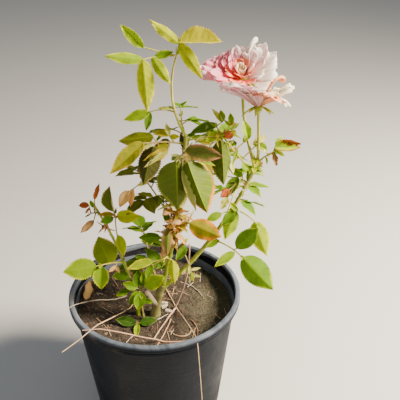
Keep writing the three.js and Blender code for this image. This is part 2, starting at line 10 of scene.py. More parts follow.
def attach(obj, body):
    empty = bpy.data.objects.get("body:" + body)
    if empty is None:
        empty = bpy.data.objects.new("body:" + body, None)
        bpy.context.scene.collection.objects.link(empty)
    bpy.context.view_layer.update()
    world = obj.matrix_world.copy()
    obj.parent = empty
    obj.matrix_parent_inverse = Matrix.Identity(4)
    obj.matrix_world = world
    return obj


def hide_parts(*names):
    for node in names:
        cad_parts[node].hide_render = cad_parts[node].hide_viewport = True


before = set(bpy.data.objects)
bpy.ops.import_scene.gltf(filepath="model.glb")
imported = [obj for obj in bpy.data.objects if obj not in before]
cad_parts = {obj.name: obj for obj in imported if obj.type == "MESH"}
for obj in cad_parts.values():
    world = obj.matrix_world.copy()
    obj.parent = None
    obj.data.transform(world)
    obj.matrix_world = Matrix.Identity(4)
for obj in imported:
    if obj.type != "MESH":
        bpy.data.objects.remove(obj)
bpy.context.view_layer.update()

# The pot is a thin black polypropylene container with a rolled rim, a shoulder band under it and eight
# drain holes cut through its heel. Its inner wall is a paler grey-blue, partly dust and partly painted light,
# and a pale band at the top of its rim is partly wear and partly a painted highlight. Dust lies on the rim
# and in its fine scratches.
MM = 0.001
POT_HEIGHT = 235
RIM_RADIUS = 140
NECK_RADIUS = 134
SHOULDER_RADIUS = 136
BODY_RADIUS = 131
BASE_RADIUS = 107
SHOULDER = (213, 221)
LIP_HEIGHT = 11
HEEL_HEIGHT = 5
WALL = 2.4
FLOOR = 3
POT_SIDES = 144
DENT = 0.7
DRAIN_HOLES = 8
DRAIN_WIDTH, DRAIN_HEIGHT, DRAIN_DEPTH = 22, 12, 12
CLEARANCE = 0.3
MOULDED_BLACK = ((0.003, 0.004, 0.007), (0.011, 0.015, 0.023))
# Painted light: the inside of the wall is a paler grey-blue, partly dust and partly painted light.
DUSTY_INSIDE_AND_PAINTED_LIGHT = ((0.050, 0.062, 0.085), (0.165, 0.190, 0.235))
# Painted highlight: a pale blue-grey band at the rim's top, partly wear and partly a painted highlight.
WORN_RIM_AND_PAINTED_HIGHLIGHT = (0.24, 0.28, 0.34)
RIM_BAND_FROM, RIM_BAND_TO = 229, 234.5
DUST = (0.20, 0.165, 0.12)
DUST_FROM, DUST_TO = 205, 236
SCRATCH = (0.05, 0.056, 0.066)
GRIT = (0.24, 0.20, 0.155)


def add(tree, kind, inputs=(), **settings):
    """One node of a tree. An input, by name or number, is a value or the socket that feeds it."""
    node = tree.nodes.new(kind)
    for name, value in settings.items():
        setattr(node, name, value)
    for name, value in dict(inputs).items():
        socket = node.inputs[name]
        if isinstance(value, bpy.types.NodeSocket):
            tree.links.new(value, socket)
        elif socket.type == "RGBA":
            socket.default_value = (*value, 1)
        else:
            socket.default_value = value
    return node


def mixed(tree, share, below, above, how="MIX"):
    """A colour that goes from one to the other with the share."""
    node = add(tree, "ShaderNodeMix", data_type="RGBA", blend_type=how)
    for socket, value in ((0, share), (6, below), (7, above)):
        if isinstance(value, bpy.types.NodeSocket):
            tree.links.new(value, node.inputs[socket])
        else:
            node.inputs[socket].default_value = value if socket == 0 else (*value, 1)
    return node.outputs[2]


def speckle(tree, scale, detail=4, roughness=0.55, stretch=(1, 1, 1), distortion=0):
    """Noise that lies still on the piece, from 0 to 1."""
    place = add(tree, "ShaderNodeTexCoord").outputs["Object"]
    place = add(tree, "ShaderNodeMapping", {"Vector": place, "Scale": stretch}).outputs[0]
    values = {"Vector": place, "Scale": scale, "Detail": detail, "Roughness": roughness}
    return add(tree, "ShaderNodeTexNoise", {**values, "Distortion": distortion}).outputs["Fac"]


def ranged(tree, value, low, high, start=0, end=1):
    """Start where the value is low, end where it is high, and even between."""
    limits = {"Value": value, "From Min": low, "From Max": high, "To Min": start, "To Max": end}
    return add(tree, "ShaderNodeMapRange", limits).outputs["Result"]


def computed(tree, how, *values):
    """A number worked out from others."""
    return add(tree, "ShaderNodeMath", dict(enumerate(values)), operation=how).outputs[0]


def stretched(tree, vector, by):
    """A vector with each of its parts times that of another."""
    return add(tree, "ShaderNodeVectorMath", {0: vector, 1: by}, operation="MULTIPLY").outputs[0]


def length_of(tree, vector):
    """How long a vector is."""
    return add(tree, "ShaderNodeVectorMath", {0: vector}, operation="LENGTH").outputs["Value"]


def finish_of(name, gloss=0.5):
    """A new material, its tree and its Principled shader."""
    material = bpy.data.materials.new(name)
    material.use_nodes = True
    tree = material.node_tree
    shader = tree.nodes["Principled BSDF"]
    shader.inputs["Specular IOR Level"].default_value = gloss
    return material, tree, shader


def feed(tree, shader, sockets):
    """Links what was worked out to the shader's inputs, by their names."""
    for name, value in sockets.items():
        tree.links.new(value, shader.inputs[name])


def bumped(tree, height, strength, depth):
    """A normal from a height, where depth is the real depth in metres."""
    return add(tree, "ShaderNodeBump", {"Strength": strength, "Distance": depth, "Height": height}).outputs[0]


def placed(name, data):
    """A new object, put in the scene."""
    piece = bpy.data.objects.new(name, data)
    bpy.context.collection.objects.link(piece)
    return piece


def rounded(corners, points=5):
    """A profile of (radius, height, rounding) corners, each rounded with a short curve."""
    profile = []
    for i, (radius, height, rounding) in enumerate(corners):
        corner = np.array([radius, height])
        if not rounding:
            profile.append(corner)
            continue
        before = np.array(corners[i - 1][:2]) - corner
        after = np.array(corners[i + 1][:2]) - corner
        start = corner + before / np.linalg.norm(before) * rounding
        end = corner + after / np.linalg.norm(after) * rounding
        for share in np.linspace(0, 1, points):
            near = start * (1 - share) + corner * share
            profile.append(near * (1 - share) + (corner * (1 - share) + end * share) * share)
    return profile


def revolved(name, profile, sides, moved=lambda point: point):
    """A closed mesh of a profile that starts and ends on the axis, each point then moved by a rule."""
    rings = len(profile) - 2
    points = [(0, 0, profile[0][1])]
    for radius, height in profile[1:-1]:
        for side in range(sides):
            turn = 2 * math.pi * side / sides
            points.append((radius * math.cos(turn), radius * math.sin(turn), height))
    points.append((0, 0, profile[-1][1]))
    faces = []
    for side in range(sides):
        beside = (side + 1) % sides
        faces.append((0, 1 + beside, 1 + side))
        for ring in range(rings - 1):
            low, high = 1 + ring * sides, 1 + (ring + 1) * sides
            faces.append((low + side, low + beside, high + beside, high + side))
        last = 1 + (rings - 1) * sides
        faces.append((last + side, last + beside, len(points) - 1))
    mesh = bpy.data.meshes.new(name)
    mesh.from_pydata([tuple(np.array(moved(point)) * MM) for point in points], [], faces)
    return placed(name, mesh)


def settle(piece):
    """Works out the piece's modifiers, so that it is an ordinary mesh."""
    bpy.context.view_layer.update()
    worked_out = piece.evaluated_get(bpy.context.evaluated_depsgraph_get())
    mesh = bpy.data.meshes.new_from_object(worked_out)
    piece.modifiers.clear()
    piece.data = mesh
    return piece


def hand_over(piece, slot, *nodes, sharp=40):
    """Smooth shading, with edges over the sharp angle left crisp. The piece then rides on the root body."""
    piece.data.shade_smooth()
    piece.data.set_sharp_from_angle(angle=math.radians(sharp))
    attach(piece, "root")
    if nodes:
        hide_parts(*nodes)


def inner_radius(height):
    """The inner wall's radius at a height."""
    return BASE_RADIUS + (BODY_RADIUS - BASE_RADIUS) * height / SHOULDER[0] - WALL


def dented(point):
    """A real pot is a little out of round, and its wall is a little wavy."""
    x, y, z = point
    radius = math.hypot(x, y)
    if radius < 1:
        return point
    push = DENT * (noise.noise(Vector(point) / 70) + 0.4 * noise.noise(Vector(point) / 24))
    grown = 1 + push * (z / POT_HEIGHT) / radius
    return x * grown, y * grown, z


lip_foot = POT_HEIGHT - LIP_HEIGHT
pot = revolved("pot_shell", rounded([
    (0, 0, 0), (BASE_RADIUS, 0, 1.5), (BASE_RADIUS + 1, HEEL_HEIGHT, 0.5),
    (BODY_RADIUS, SHOULDER[0], 0.8), (SHOULDER_RADIUS, SHOULDER[0] + 1.5, 1),
    (SHOULDER_RADIUS, SHOULDER[1] - 0.5, 1), (NECK_RADIUS, SHOULDER[1] + 1, 0.8),
    (NECK_RADIUS, lip_foot, 0.8), (RIM_RADIUS, lip_foot, 2.2), (RIM_RADIUS, POT_HEIGHT, 3.6),
    (NECK_RADIUS - WALL, POT_HEIGHT, 2.4), (NECK_RADIUS - WALL, SHOULDER[1], 1),
    (inner_radius(SHOULDER[0]), SHOULDER[0] - WALL, 1), (inner_radius(FLOOR), FLOOR, 1), (0, FLOOR, 0),
]), POT_SIDES, dented)

holes = bpy.data.meshes.new("drain_holes")
corners, sides = [], []
for i in range(DRAIN_HOLES):
    turn = 2 * math.pi * (i + 0.5) / DRAIN_HOLES
    outward = np.array([math.cos(turn), math.sin(turn), 0])
    across = np.array([-math.sin(turn), math.cos(turn), 0])
    first = len(corners)
    for out, side, up in ((o, s, u) for o in (-1, 1) for s in (-1, 1) for u in (-1, 1)):
        reach = outward * (BASE_RADIUS + out * DRAIN_DEPTH) + across * side * DRAIN_WIDTH / 2
        corners.append(tuple((reach + np.array([0, 0, up * DRAIN_HEIGHT])) * MM))
    box = ((0, 1, 3, 2), (4, 6, 7, 5), (0, 4, 5, 1), (2, 3, 7, 6), (0, 2, 6, 4), (1, 5, 7, 3))
    sides += [tuple(first + corner for corner in side) for side in box]
holes.from_pydata(corners, [], sides)
hole_cutter = placed("drain_holes", holes)
cut = pot.modifiers.new("drain_holes", "BOOLEAN")
cut.operation = "DIFFERENCE"
cut.solver = "EXACT"
cut.object = hole_cutter
settle(pot)
bpy.data.objects.remove(hole_cutter)

material, tree, shader = finish_of("dusty black plastic", 0.06)
spot = add(tree, "ShaderNodeTexCoord").outputs["Object"]
height = add(tree, "ShaderNodeSeparateXYZ", {0: spot}).outputs["Z"]
out = length_of(tree, stretched(tree, spot, (1, 1, 0)))
taper = (BODY_RADIUS - BASE_RADIUS) / SHOULDER[0]
middle = computed(tree, "ADD", computed(tree, "MULTIPLY", height, taper), (BASE_RADIUS - WALL / 2) * MM)
inside = computed(tree, "LESS_THAN", out, middle)
streaks = speckle(tree, 9, 6, 0.7, (1, 1, 0.12))
scratches = speckle(tree, 160, 3, 0.6, (0.25, 0.25, 2.4))
patches = speckle(tree, 13, 7, 0.66, distortion=0.6)
outer_wall = mixed(tree, ranged(tree, streaks, 0.35, 0.75), *MOULDED_BLACK)
# Painted light: inside the wall the colour is a paler grey-blue, partly a film of dust and partly painted
# light.
inner_wall_dust_and_light = mixed(tree, ranged(tree, streaks, 0.35, 0.65), *DUSTY_INSIDE_AND_PAINTED_LIGHT)
walls_with_painted_inner_light = mixed(tree, inside, outer_wall, inner_wall_dust_and_light)
# Painted highlight: patches of pale blue-grey near the rim's top, partly wear and partly a painted highlight.
rim_band_height = ranged(tree, height, RIM_BAND_FROM * MM, RIM_BAND_TO * MM)
rim_wear_and_highlight = computed(tree, "MULTIPLY", rim_band_height, ranged(tree, patches, 0.35, 0.6, 0.2, 0.8))
worn_and_highlighted = mixed(tree, rim_wear_and_highlight, walls_with_painted_inner_light, WORN_RIM_AND_PAINTED_HIGHLIGHT)
dust_rise = ranged(tree, height, DUST_FROM * MM, DUST_TO * MM, 0.05, 0.75)
dust = computed(tree, "MULTIPLY", ranged(tree, patches, 0.50, 0.72), dust_rise)
dusted = mixed(tree, dust, worn_and_highlighted, DUST)
scratched = mixed(tree, ranged(tree, scratches, 0.62, 0.8, 0, 0.3), dusted, SCRATCH)
grit = ranged(tree, speckle(tree, 420, 2), 0.70, 0.80, 0, 0.3)
chafed = computed(tree, "ADD", patches, computed(tree, "MULTIPLY", streaks, 0.5))
surface = computed(tree, "ADD", computed(tree, "MULTIPLY", scratches, 0.5), patches)
feed(tree, shader, {
    "Base Color": mixed(tree, grit, scratched, GRIT),
    "Roughness": ranged(tree, chafed, 0.5, 0.95, 0.26, 0.62),
    "Normal": bumped(tree, surface, 0.6, 0.0012),
})
pot.data.materials.clear()
pot.data.materials.append(material)
hand_over(pot, "pot", "pot", sharp=50)

# The potting mix is damp peat and shredded bark. It has sunk below the rim, has crumbs and chips of bark on
# it, most at the left, and a crust of olive moss at the right.
SOIL_TOP = 201
SOIL_BANK = 7
SOIL_LEVEL_RADIUS = 62
SOIL_RINGS = 78
SOIL_SIDES = 210
LUMP = 1.6
LUMP_WAVES = (0.11, 0.13)
CLODS = ((22, 1.1), (9, 1.0), (4.5, 0.55))
EARTH = ((0.016, 0.011, 0.008), (0.092, 0.068, 0.048))
FLECK = (0.23, 0.175, 0.12)
MOSS = ((0.034, 0.032, 0.018), (0.165, 0.148, 0.085))


def soil_height(x, y):
    """The soil's top: level round the stems, banked up to the wall, lumpy, and cloddy nearer by."""
    reach = inner_radius(SOIL_TOP)
    out = max(0, math.hypot(x, y) - SOIL_LEVEL_RADIUS) / (reach - SOIL_LEVEL_RADIUS)
    lumps = math.sin(x * LUMP_WAVES[0] + 1) * math.cos(y * LUMP_WAVES[1]) * LUMP
    bank = SOIL_TOP + out * (SOIL_BANK * (0.5 - 0.5 * x / reach) + lumps)
    return bank + sum(high * noise.noise(Vector((x, y, wide)) / wide) for wide, high in CLODS)


def on_soil(point):
    """A point of the top is lifted to the soil's own height, and the others stay."""
    x, y, z = point
    return (x, y, soil_height(x, y)) if z > SOIL_TOP - 1 else point


edge = inner_radius(SOIL_TOP) - 2 * CLEARANCE
profile = [(0, FLOOR + CLEARANCE), (inner_radius(FLOOR) - 2 * CLEARANCE, FLOOR + CLEARANCE)]
profile += [(edge * (1 - ring / SOIL_RINGS), SOIL_TOP) for ring in range(SOIL_RINGS)]
soil = revolved("potting_mix", profile + [(0, SOIL_TOP)], SOIL_SIDES, on_soil)

material, tree, shader = finish_of("potting mix", 0.25)
spot = add(tree, "ShaderNodeTexCoord").outputs["Object"]
across = add(tree, "ShaderNodeSeparateXYZ", {0: spot}).outputs["X"]
fine = speckle(tree, 300, 6, 0.7)
clods = speckle(tree, 70, 5, 0.65)
earth = mixed(tree, ranged(tree, clods, 0.3, 0.7), *EARTH)
flecked = mixed(tree, ranged(tree, fine, 0.56, 0.70, 0, 0.75), earth, FLECK)
mossy = computed(tree, "ADD", ranged(tree, across, 0.0, 0.09, -0.35, 0.22), speckle(tree, 26, 5, 0.6))
crust = mixed(tree, ranged(tree, fine, 0.35, 0.65), *MOSS)
feed(tree, shader, {
    "Base Color": mixed(tree, ranged(tree, mossy, 0.48, 0.66, 0, 0.75), flecked, crust),
    "Roughness": ranged(tree, fine, 0.3, 0.7, 0.8, 1),
    "Normal": bumped(tree, computed(tree, "ADD", fine, clods), 1.0, 0.003),
})
soil.data.materials.append(material)
hand_over(soil, "soil", "soil", sharp=60)

# Loose bits lie on the mix as they fell: crumbs of peat, chips of fresh and of weathered bark, most of them
# at the left, and flakes of the moss's crust at the right.
WALL_GAP = 7
LooseBit = namedtuple("LooseBit", "name many leaning least most tumble raggedness dark light")
LOOSE_BITS = [
    LooseBit(
        "peat_crumbs", 110000, -1, least=(0.9, 0.8, 0.5), most=(3.2, 2.6, 1.9), tumble=3, raggedness=0.9,
        dark=(0.014, 0.009, 0.006), light=(0.115, 0.08, 0.052)),
    LooseBit(
        "bark_chips", 9000, -4, least=(3.5, 1.6, 0.8), most=(13, 5, 2.6), tumble=0.45, raggedness=2.2,
        dark=(0.030, 0.015, 0.009), light=(0.17, 0.095, 0.055)),
    LooseBit(
        "weathered_chips", 5200, -3, least=(2.5, 1.2, 0.7), most=(9, 3.6, 1.8), tumble=0.5, raggedness=1.8,
        dark=(0.11, 0.085, 0.06), light=(0.31, 0.24, 0.17)),
    LooseBit(
        "moss_flakes", 42000, 5, least=(0.9, 0.8, 0.4), most=(2.8, 2.2, 1.3), tumble=1, raggedness=0.8,
        dark=(0.030, 0.028, 0.014), light=(0.19, 0.17, 0.095)),
]


def new_tree(name, *sockets):
    """A Geometry Nodes tree with named inputs, its Group Input and its Group Output."""
    tree = bpy.data.node_groups.new(name, "GeometryNodeTree")
    tree.interface.new_socket("Geometry", in_out="INPUT", socket_type="NodeSocketGeometry")
    tree.interface.new_socket("Geometry", in_out="OUTPUT", socket_type="NodeSocketGeometry")
    for socket, kind in sockets:
        tree.interface.new_socket(socket, in_out="INPUT", socket_type="NodeSocket" + kind)
    return tree, tree.nodes.new("NodeGroupInput").outputs, tree.nodes.new("NodeGroupOutput").inputs


def lengthened(tree, vector, by):
    """A vector made longer or shorter by one number."""
    return add(tree, "ShaderNodeVectorMath", {0: vector, "Scale": by}, operation="SCALE").outputs[0]


def close_tree(tree, geometry, material, ending):
    """Ends a tree in plain faces with a finish."""
    real = add(tree, "GeometryNodeRealizeInstances", {"Geometry": geometry}).outputs[0]
    finished = add(tree, "GeometryNodeSetMaterial", {"Geometry": real, "Material": material}).outputs[0]
    tree.links.new(finished, ending["Geometry"])


def grown(piece, tree, **values):
    """The piece with a tree's work done on it, its inputs given by name with spaces as underscores."""
    modifier = piece.modifiers.new(tree.name, "NODES")
    modifier.node_group = tree
    for item in tree.interface.items_tree:
        if item.in_out == "INPUT" and item.name.replace(" ", "_") in values:
            modifier[item.identifier] = values[item.name.replace(" ", "_")]
    return settle(piece)


scatter, given, result = new_tree(
    "loose bits on soil", ("Bits per square metre", "Float"), ("Leaning", "Float"), ("Least", "Vector"),
    ("Most", "Vector"), ("Tumble", "Float"), ("Raggedness", "Float"), ("Seed", "Int"), ("Finish", "Material"),
)
spot = add(scatter, "GeometryNodeInputPosition").outputs[0]
split = add(scatter, "ShaderNodeSeparateXYZ", {0: spot}).outputs
high = computed(scatter, "GREATER_THAN", split["Z"], (SOIL_TOP - 6) * MM)
reach = length_of(scatter, stretched(scatter, spot, (1, 1, 0)))
clear = computed(scatter, "LESS_THAN", reach, (inner_radius(SOIL_TOP) - WALL_GAP) * MM)
on_top = computed(scatter, "MULTIPLY", high, clear)
leaning = computed(scatter, "MULTIPLY", split["X"], given["Leaning"])
crowding = add(scatter, "ShaderNodeClamp", {"Value": computed(scatter, "ADD", leaning, 0.5)}).outputs[0]
clumps = add(scatter, "ShaderNodeTexNoise", {"Scale": 38.0, "Detail": 2.0}).outputs["Fac"]
clumped = computed(scatter, "MULTIPLY", ranged(scatter, clumps, 0.35, 0.65, 0.25, 1.6), crowding)
spread = add(scatter, "GeometryNodeDistributePointsOnFaces", {
    "Mesh": given["Geometry"], "Selection": on_top, "Seed": given["Seed"],
    "Density": computed(scatter, "MULTIPLY", clumped, given["Bits per square metre"]),
}).outputs
drawn = add(scatter, "FunctionNodeRandomValue", data_type="FLOAT_VECTOR")
scatter.links.new(given["Least"], drawn.inputs[0])
scatter.links.new(given["Most"], drawn.inputs[1])
any_turn = {0: (-1, -1, -3.1), 1: (1, 1, 3.1), "Seed": 5}
turned = add(scatter, "FunctionNodeRandomValue", any_turn, data_type="FLOAT_VECTOR").outputs[0]
tumbled = {"X": given["Tumble"], "Y": given["Tumble"], "Z": 1.0}
turn = stretched(scatter, turned, add(scatter, "ShaderNodeCombineXYZ", tumbled).outputs[0])
bit = add(scatter, "GeometryNodeMeshIcoSphere", {"Radius": 0.5, "Subdivisions": 1}).outputs["Mesh"]
bits = add(scatter, "GeometryNodeInstanceOnPoints", {
    "Points": spread["Points"], "Instance": bit, "Rotation": turn, "Scale": drawn.outputs[0]}).outputs[0]
bits = add(scatter, "GeometryNodeRealizeInstances", {"Geometry": bits}).outputs[0]
grain = add(scatter, "ShaderNodeTexNoise", {"Scale": 420.0, "Detail": 1.0}).outputs["Color"]
uneven = add(scatter, "ShaderNodeVectorMath", {0: grain, 1: (0.5, 0.5, 0.5)}, operation="SUBTRACT").outputs[0]
ragged = lengthened(scatter, uneven, given["Raggedness"])
bits = add(scatter, "GeometryNodeSetPosition", {"Geometry": bits, "Offset": ragged}).outputs[0]
close_tree(scatter, bits, given["Finish"], result)


def bit_finish(name, dark, light):
    """The finish of loose bits: dull, fibrous and mottled from dark to light."""
    material, tree, shader = finish_of(name, 0.3)
    tone = speckle(tree, 130, 3, 0.6)
    fibre = speckle(tree, 900, 2, 0.6, (1, 0.3, 1))
    feed(tree, shader, {
        "Base Color": mixed(tree, ranged(tree, tone, 0.35, 0.65), dark, light),
        "Roughness": ranged(tree, fibre, 0.3, 0.7, 0.7, 1),
        "Normal": bumped(tree, fibre, 0.4, 0.0004),
    })
    return material


for seed, kind in enumerate(LOOSE_BITS):
    loose = placed(kind.name, soil.data.copy())
    grown(
        loose, scatter, Bits_per_square_metre=float(kind.many), Leaning=float(kind.leaning), Seed=seed + 3,
        Least=[size * MM for size in kind.least], Most=[size * MM for size in kind.most],
        Tumble=float(kind.tumble), Raggedness=kind.raggedness * MM,
        Finish=bit_finish(kind.name.replace("_", " "), kind.dark, kind.light),
    )
    hand_over(loose, "soil", sharp=30)

# The canes are this season's and last season's wood. The main stem has thin grey-green bark, ridged along
# its length, and one cane was pruned off at its foot. The canes above are smooth, yellow-green and swollen
# where a shoot leaves them.
Place = namedtuple("Place", "position forward left up")
Sweep = namedtuple("Sweep", "points radii blush")

LIMBS = {
    "main_stem": {
        "foot": (1, -24), "azimuth": 14, "rise": 86, "climb": -18, "length": 62, "radii": (7, 5.6),
        "flare": 2.6},
    "pruned_stub": {
        "on": "main_stem", "at": 0.4, "azimuth": 212, "rise": 48, "climb": 22, "length": 33,
        "radii": (5.4, 4.9)},
    "center_cane": {
        "on": "main_stem", "at": 1, "azimuth": 4, "rise": 76, "climb": 10, "turn": 12, "length": 258,
        "radii": (3.7, 2.4)},
    "right_cane": {
        "on": "main_stem", "at": 0.84, "azimuth": 7, "rise": 42, "climb": 26, "turn": 8, "length": 264,
        "radii": (3.6, 2.6)},
    "left_cane": {
        "foot": (-26, -26), "azimuth": 176, "rise": 86, "climb": -22, "length": 216, "radii": (2.9, 1.7),
        "flare": 0.8},
}
LIMB_STEP = 2.5
LIMB_SIDES = 22
FLARE_HEIGHT = 9
FOOT_DEPTH = 3
COLLAR = 1.1
COLLAR_HEIGHT = 5
NODE_SWELL = 0.16
NODE_REACH = 3.2
BARK_DARK, BARK_LIGHT = (0.12, 0.11, 0.030), (0.42, 0.40, 0.12)
WORN_DARK, WORN_LIGHT = (0.24, 0.18, 0.11), (0.66, 0.56, 0.40)
CANE_DARK, CANE_LIGHT = (0.22, 0.29, 0.012), (0.52, 0.58, 0.04)


def direction(azimuth, rise):
    """The way along an azimuth and a rise, in degrees."""
    turn, tilt = math.radians(azimuth), math.radians(rise)
    return np.array([math.cos(tilt) * math.cos(turn), math.cos(tilt) * math.sin(turn), math.sin(tilt)])


def place_at(position, azimuth, rise):
    """A place with its own forward, left and up, where the azimuth and the rise are forward's."""
    forward = direction(azimuth, rise)
    left = direction(azimuth + 90, 0)
    return Place(np.array(position, float), forward, left, np.cross(forward, left))


def arc(start, azimuth, rise, length, climb=0, turn=0, steps=12):
    """Places along an arc, whose azimuth changes by turn and whose rise by climb."""
    position = np.array(start, float)
    places = []
    for step in range(steps + 1):
        share = step / steps
        places.append(place_at(position, azimuth + turn * share, rise + climb * share))
        middle = (step + 0.5) / steps
        position = position + direction(azimuth + turn * middle, rise + climb * middle) * length / steps
    return places


def along(places, share):
    """The point at a share of the way along places."""
    reach = share * (len(places) - 1)
    index = min(int(reach), len(places) - 2)
    near, far = places[index].position, places[index + 1].position
    return near + (far - near) * (reach - index)


def start_of(piece):
    """Where a stem starts: in the soil at its foot, or on the limb that bears it."""
    if "foot" in piece:
        return (*piece["foot"], SOIL_TOP - FOOT_DEPTH)
    return along(LIMBS[piece["on"]]["places"], piece["at"])


def run_of(piece, steps):
    """The places along a limb, a shoot or a flower stalk."""
    bend = {key: piece[key] for key in ("azimuth", "rise", "length", "climb", "turn") if key in piece}
    return arc(start_of(piece), **bend, steps=steps)


def tapered(root, tip):
    """The rule of a radius that goes evenly from the root's to the tip's."""
    return lambda shares: root + (tip - root) * shares


def sweep_of(places, radii, blush=0.0):
    """A tube's points and its radius at each, with blush for how red it is from its root to its tip."""
    shares = np.linspace(0, 1, len(places))
    reds = np.full(len(places), blush) if np.isscalar(blush) else np.interp(shares, (0, 1), blush)
    return Sweep([place.position for place in places], radii(shares), reds)


def paths_mesh(name, sweeps):
    """Edges through each sweep's points, with its radius and blush as attributes for the tubes."""
    points, edges, radii, reds = [], [], [], []
    for sweep in sweeps:
        first = len(points)
        points += [tuple(point * MM) for point in sweep.points]
        edges += [(i, i + 1) for i in range(first, len(points) - 1)]
        radii += [radius * MM for radius in sweep.radii]
        reds += list(sweep.blush)
    mesh = bpy.data.meshes.new(name)
    mesh.from_pydata(points, edges, [])
    mesh.attributes.new("thickness", "FLOAT", "POINT").data.foreach_set("value", radii)
    mesh.attributes.new("blush", "FLOAT", "POINT").data.foreach_set("value", reds)
    return placed(name, mesh)


tubes, given, result = new_tree(
    "tubes along paths", ("Sides", "Int"), ("Relief", "Float"), ("Grain", "Float"), ("Finish", "Material"),
)
path = add(tubes, "GeometryNodeMeshToCurve", {"Mesh": given["Geometry"]}).outputs[0]
ring = add(tubes, "GeometryNodeCurvePrimitiveCircle", {"Resolution": given["Sides"], "Radius": 1.0})
thickness = add(tubes, "GeometryNodeInputNamedAttribute", {"Name": "thickness"}).outputs["Attribute"]
tube = add(tubes, "GeometryNodeCurveToMesh", {
    "Curve": path, "Profile Curve": ring.outputs[0], "Scale": thickness, "Fill Caps": True}).outputs[0]
spot = stretched(tubes, add(tubes, "GeometryNodeInputPosition").outputs[0], (1, 1, 0.22))
ridged = {"Vector": spot, "Scale": given["Grain"], "Detail": 3.0}
ridges = add(tubes, "ShaderNodeTexNoise", ridged).outputs["Fac"]
raised = computed(tubes, "MULTIPLY", computed(tubes, "SUBTRACT", ridges, 0.5), given["Relief"])
relief = lengthened(tubes, add(tubes, "GeometryNodeInputNormal").outputs[0], raised)
barked = add(tubes, "GeometryNodeSetPosition", {"Geometry": tube, "Offset": relief}).outputs[0]
close_tree(tubes, barked, given["Finish"], result)


def bark_like(name, dark, light, red, ridge_depth, gloss=0.35):
    """Bark or rind with fine ridges along it, where the blush turns it red."""
    material, tree, shader = finish_of(name, gloss)
    patches = speckle(tree, 60, 5, 0.6, (1, 1, 0.35))
    ridges = speckle(tree, 700, 4, 0.6, (1, 1, 0.12))
    rind = mixed(tree, ranged(tree, patches, 0.32, 0.68), dark, light)
    lined = mixed(tree, ranged(tree, ridges, 0.5, 0.75, 0, 0.45), rind, dark)
    blush = add(tree, "ShaderNodeAttribute", attribute_name="blush").outputs["Fac"]
    feed(tree, shader, {
        "Base Color": mixed(tree, blush, lined, red),
        "Roughness": ranged(tree, ridges, 0.3, 0.7, 0.45, 0.75),
        "Normal": bumped(tree, ridges, 0.5, ridge_depth),
    })
    return material


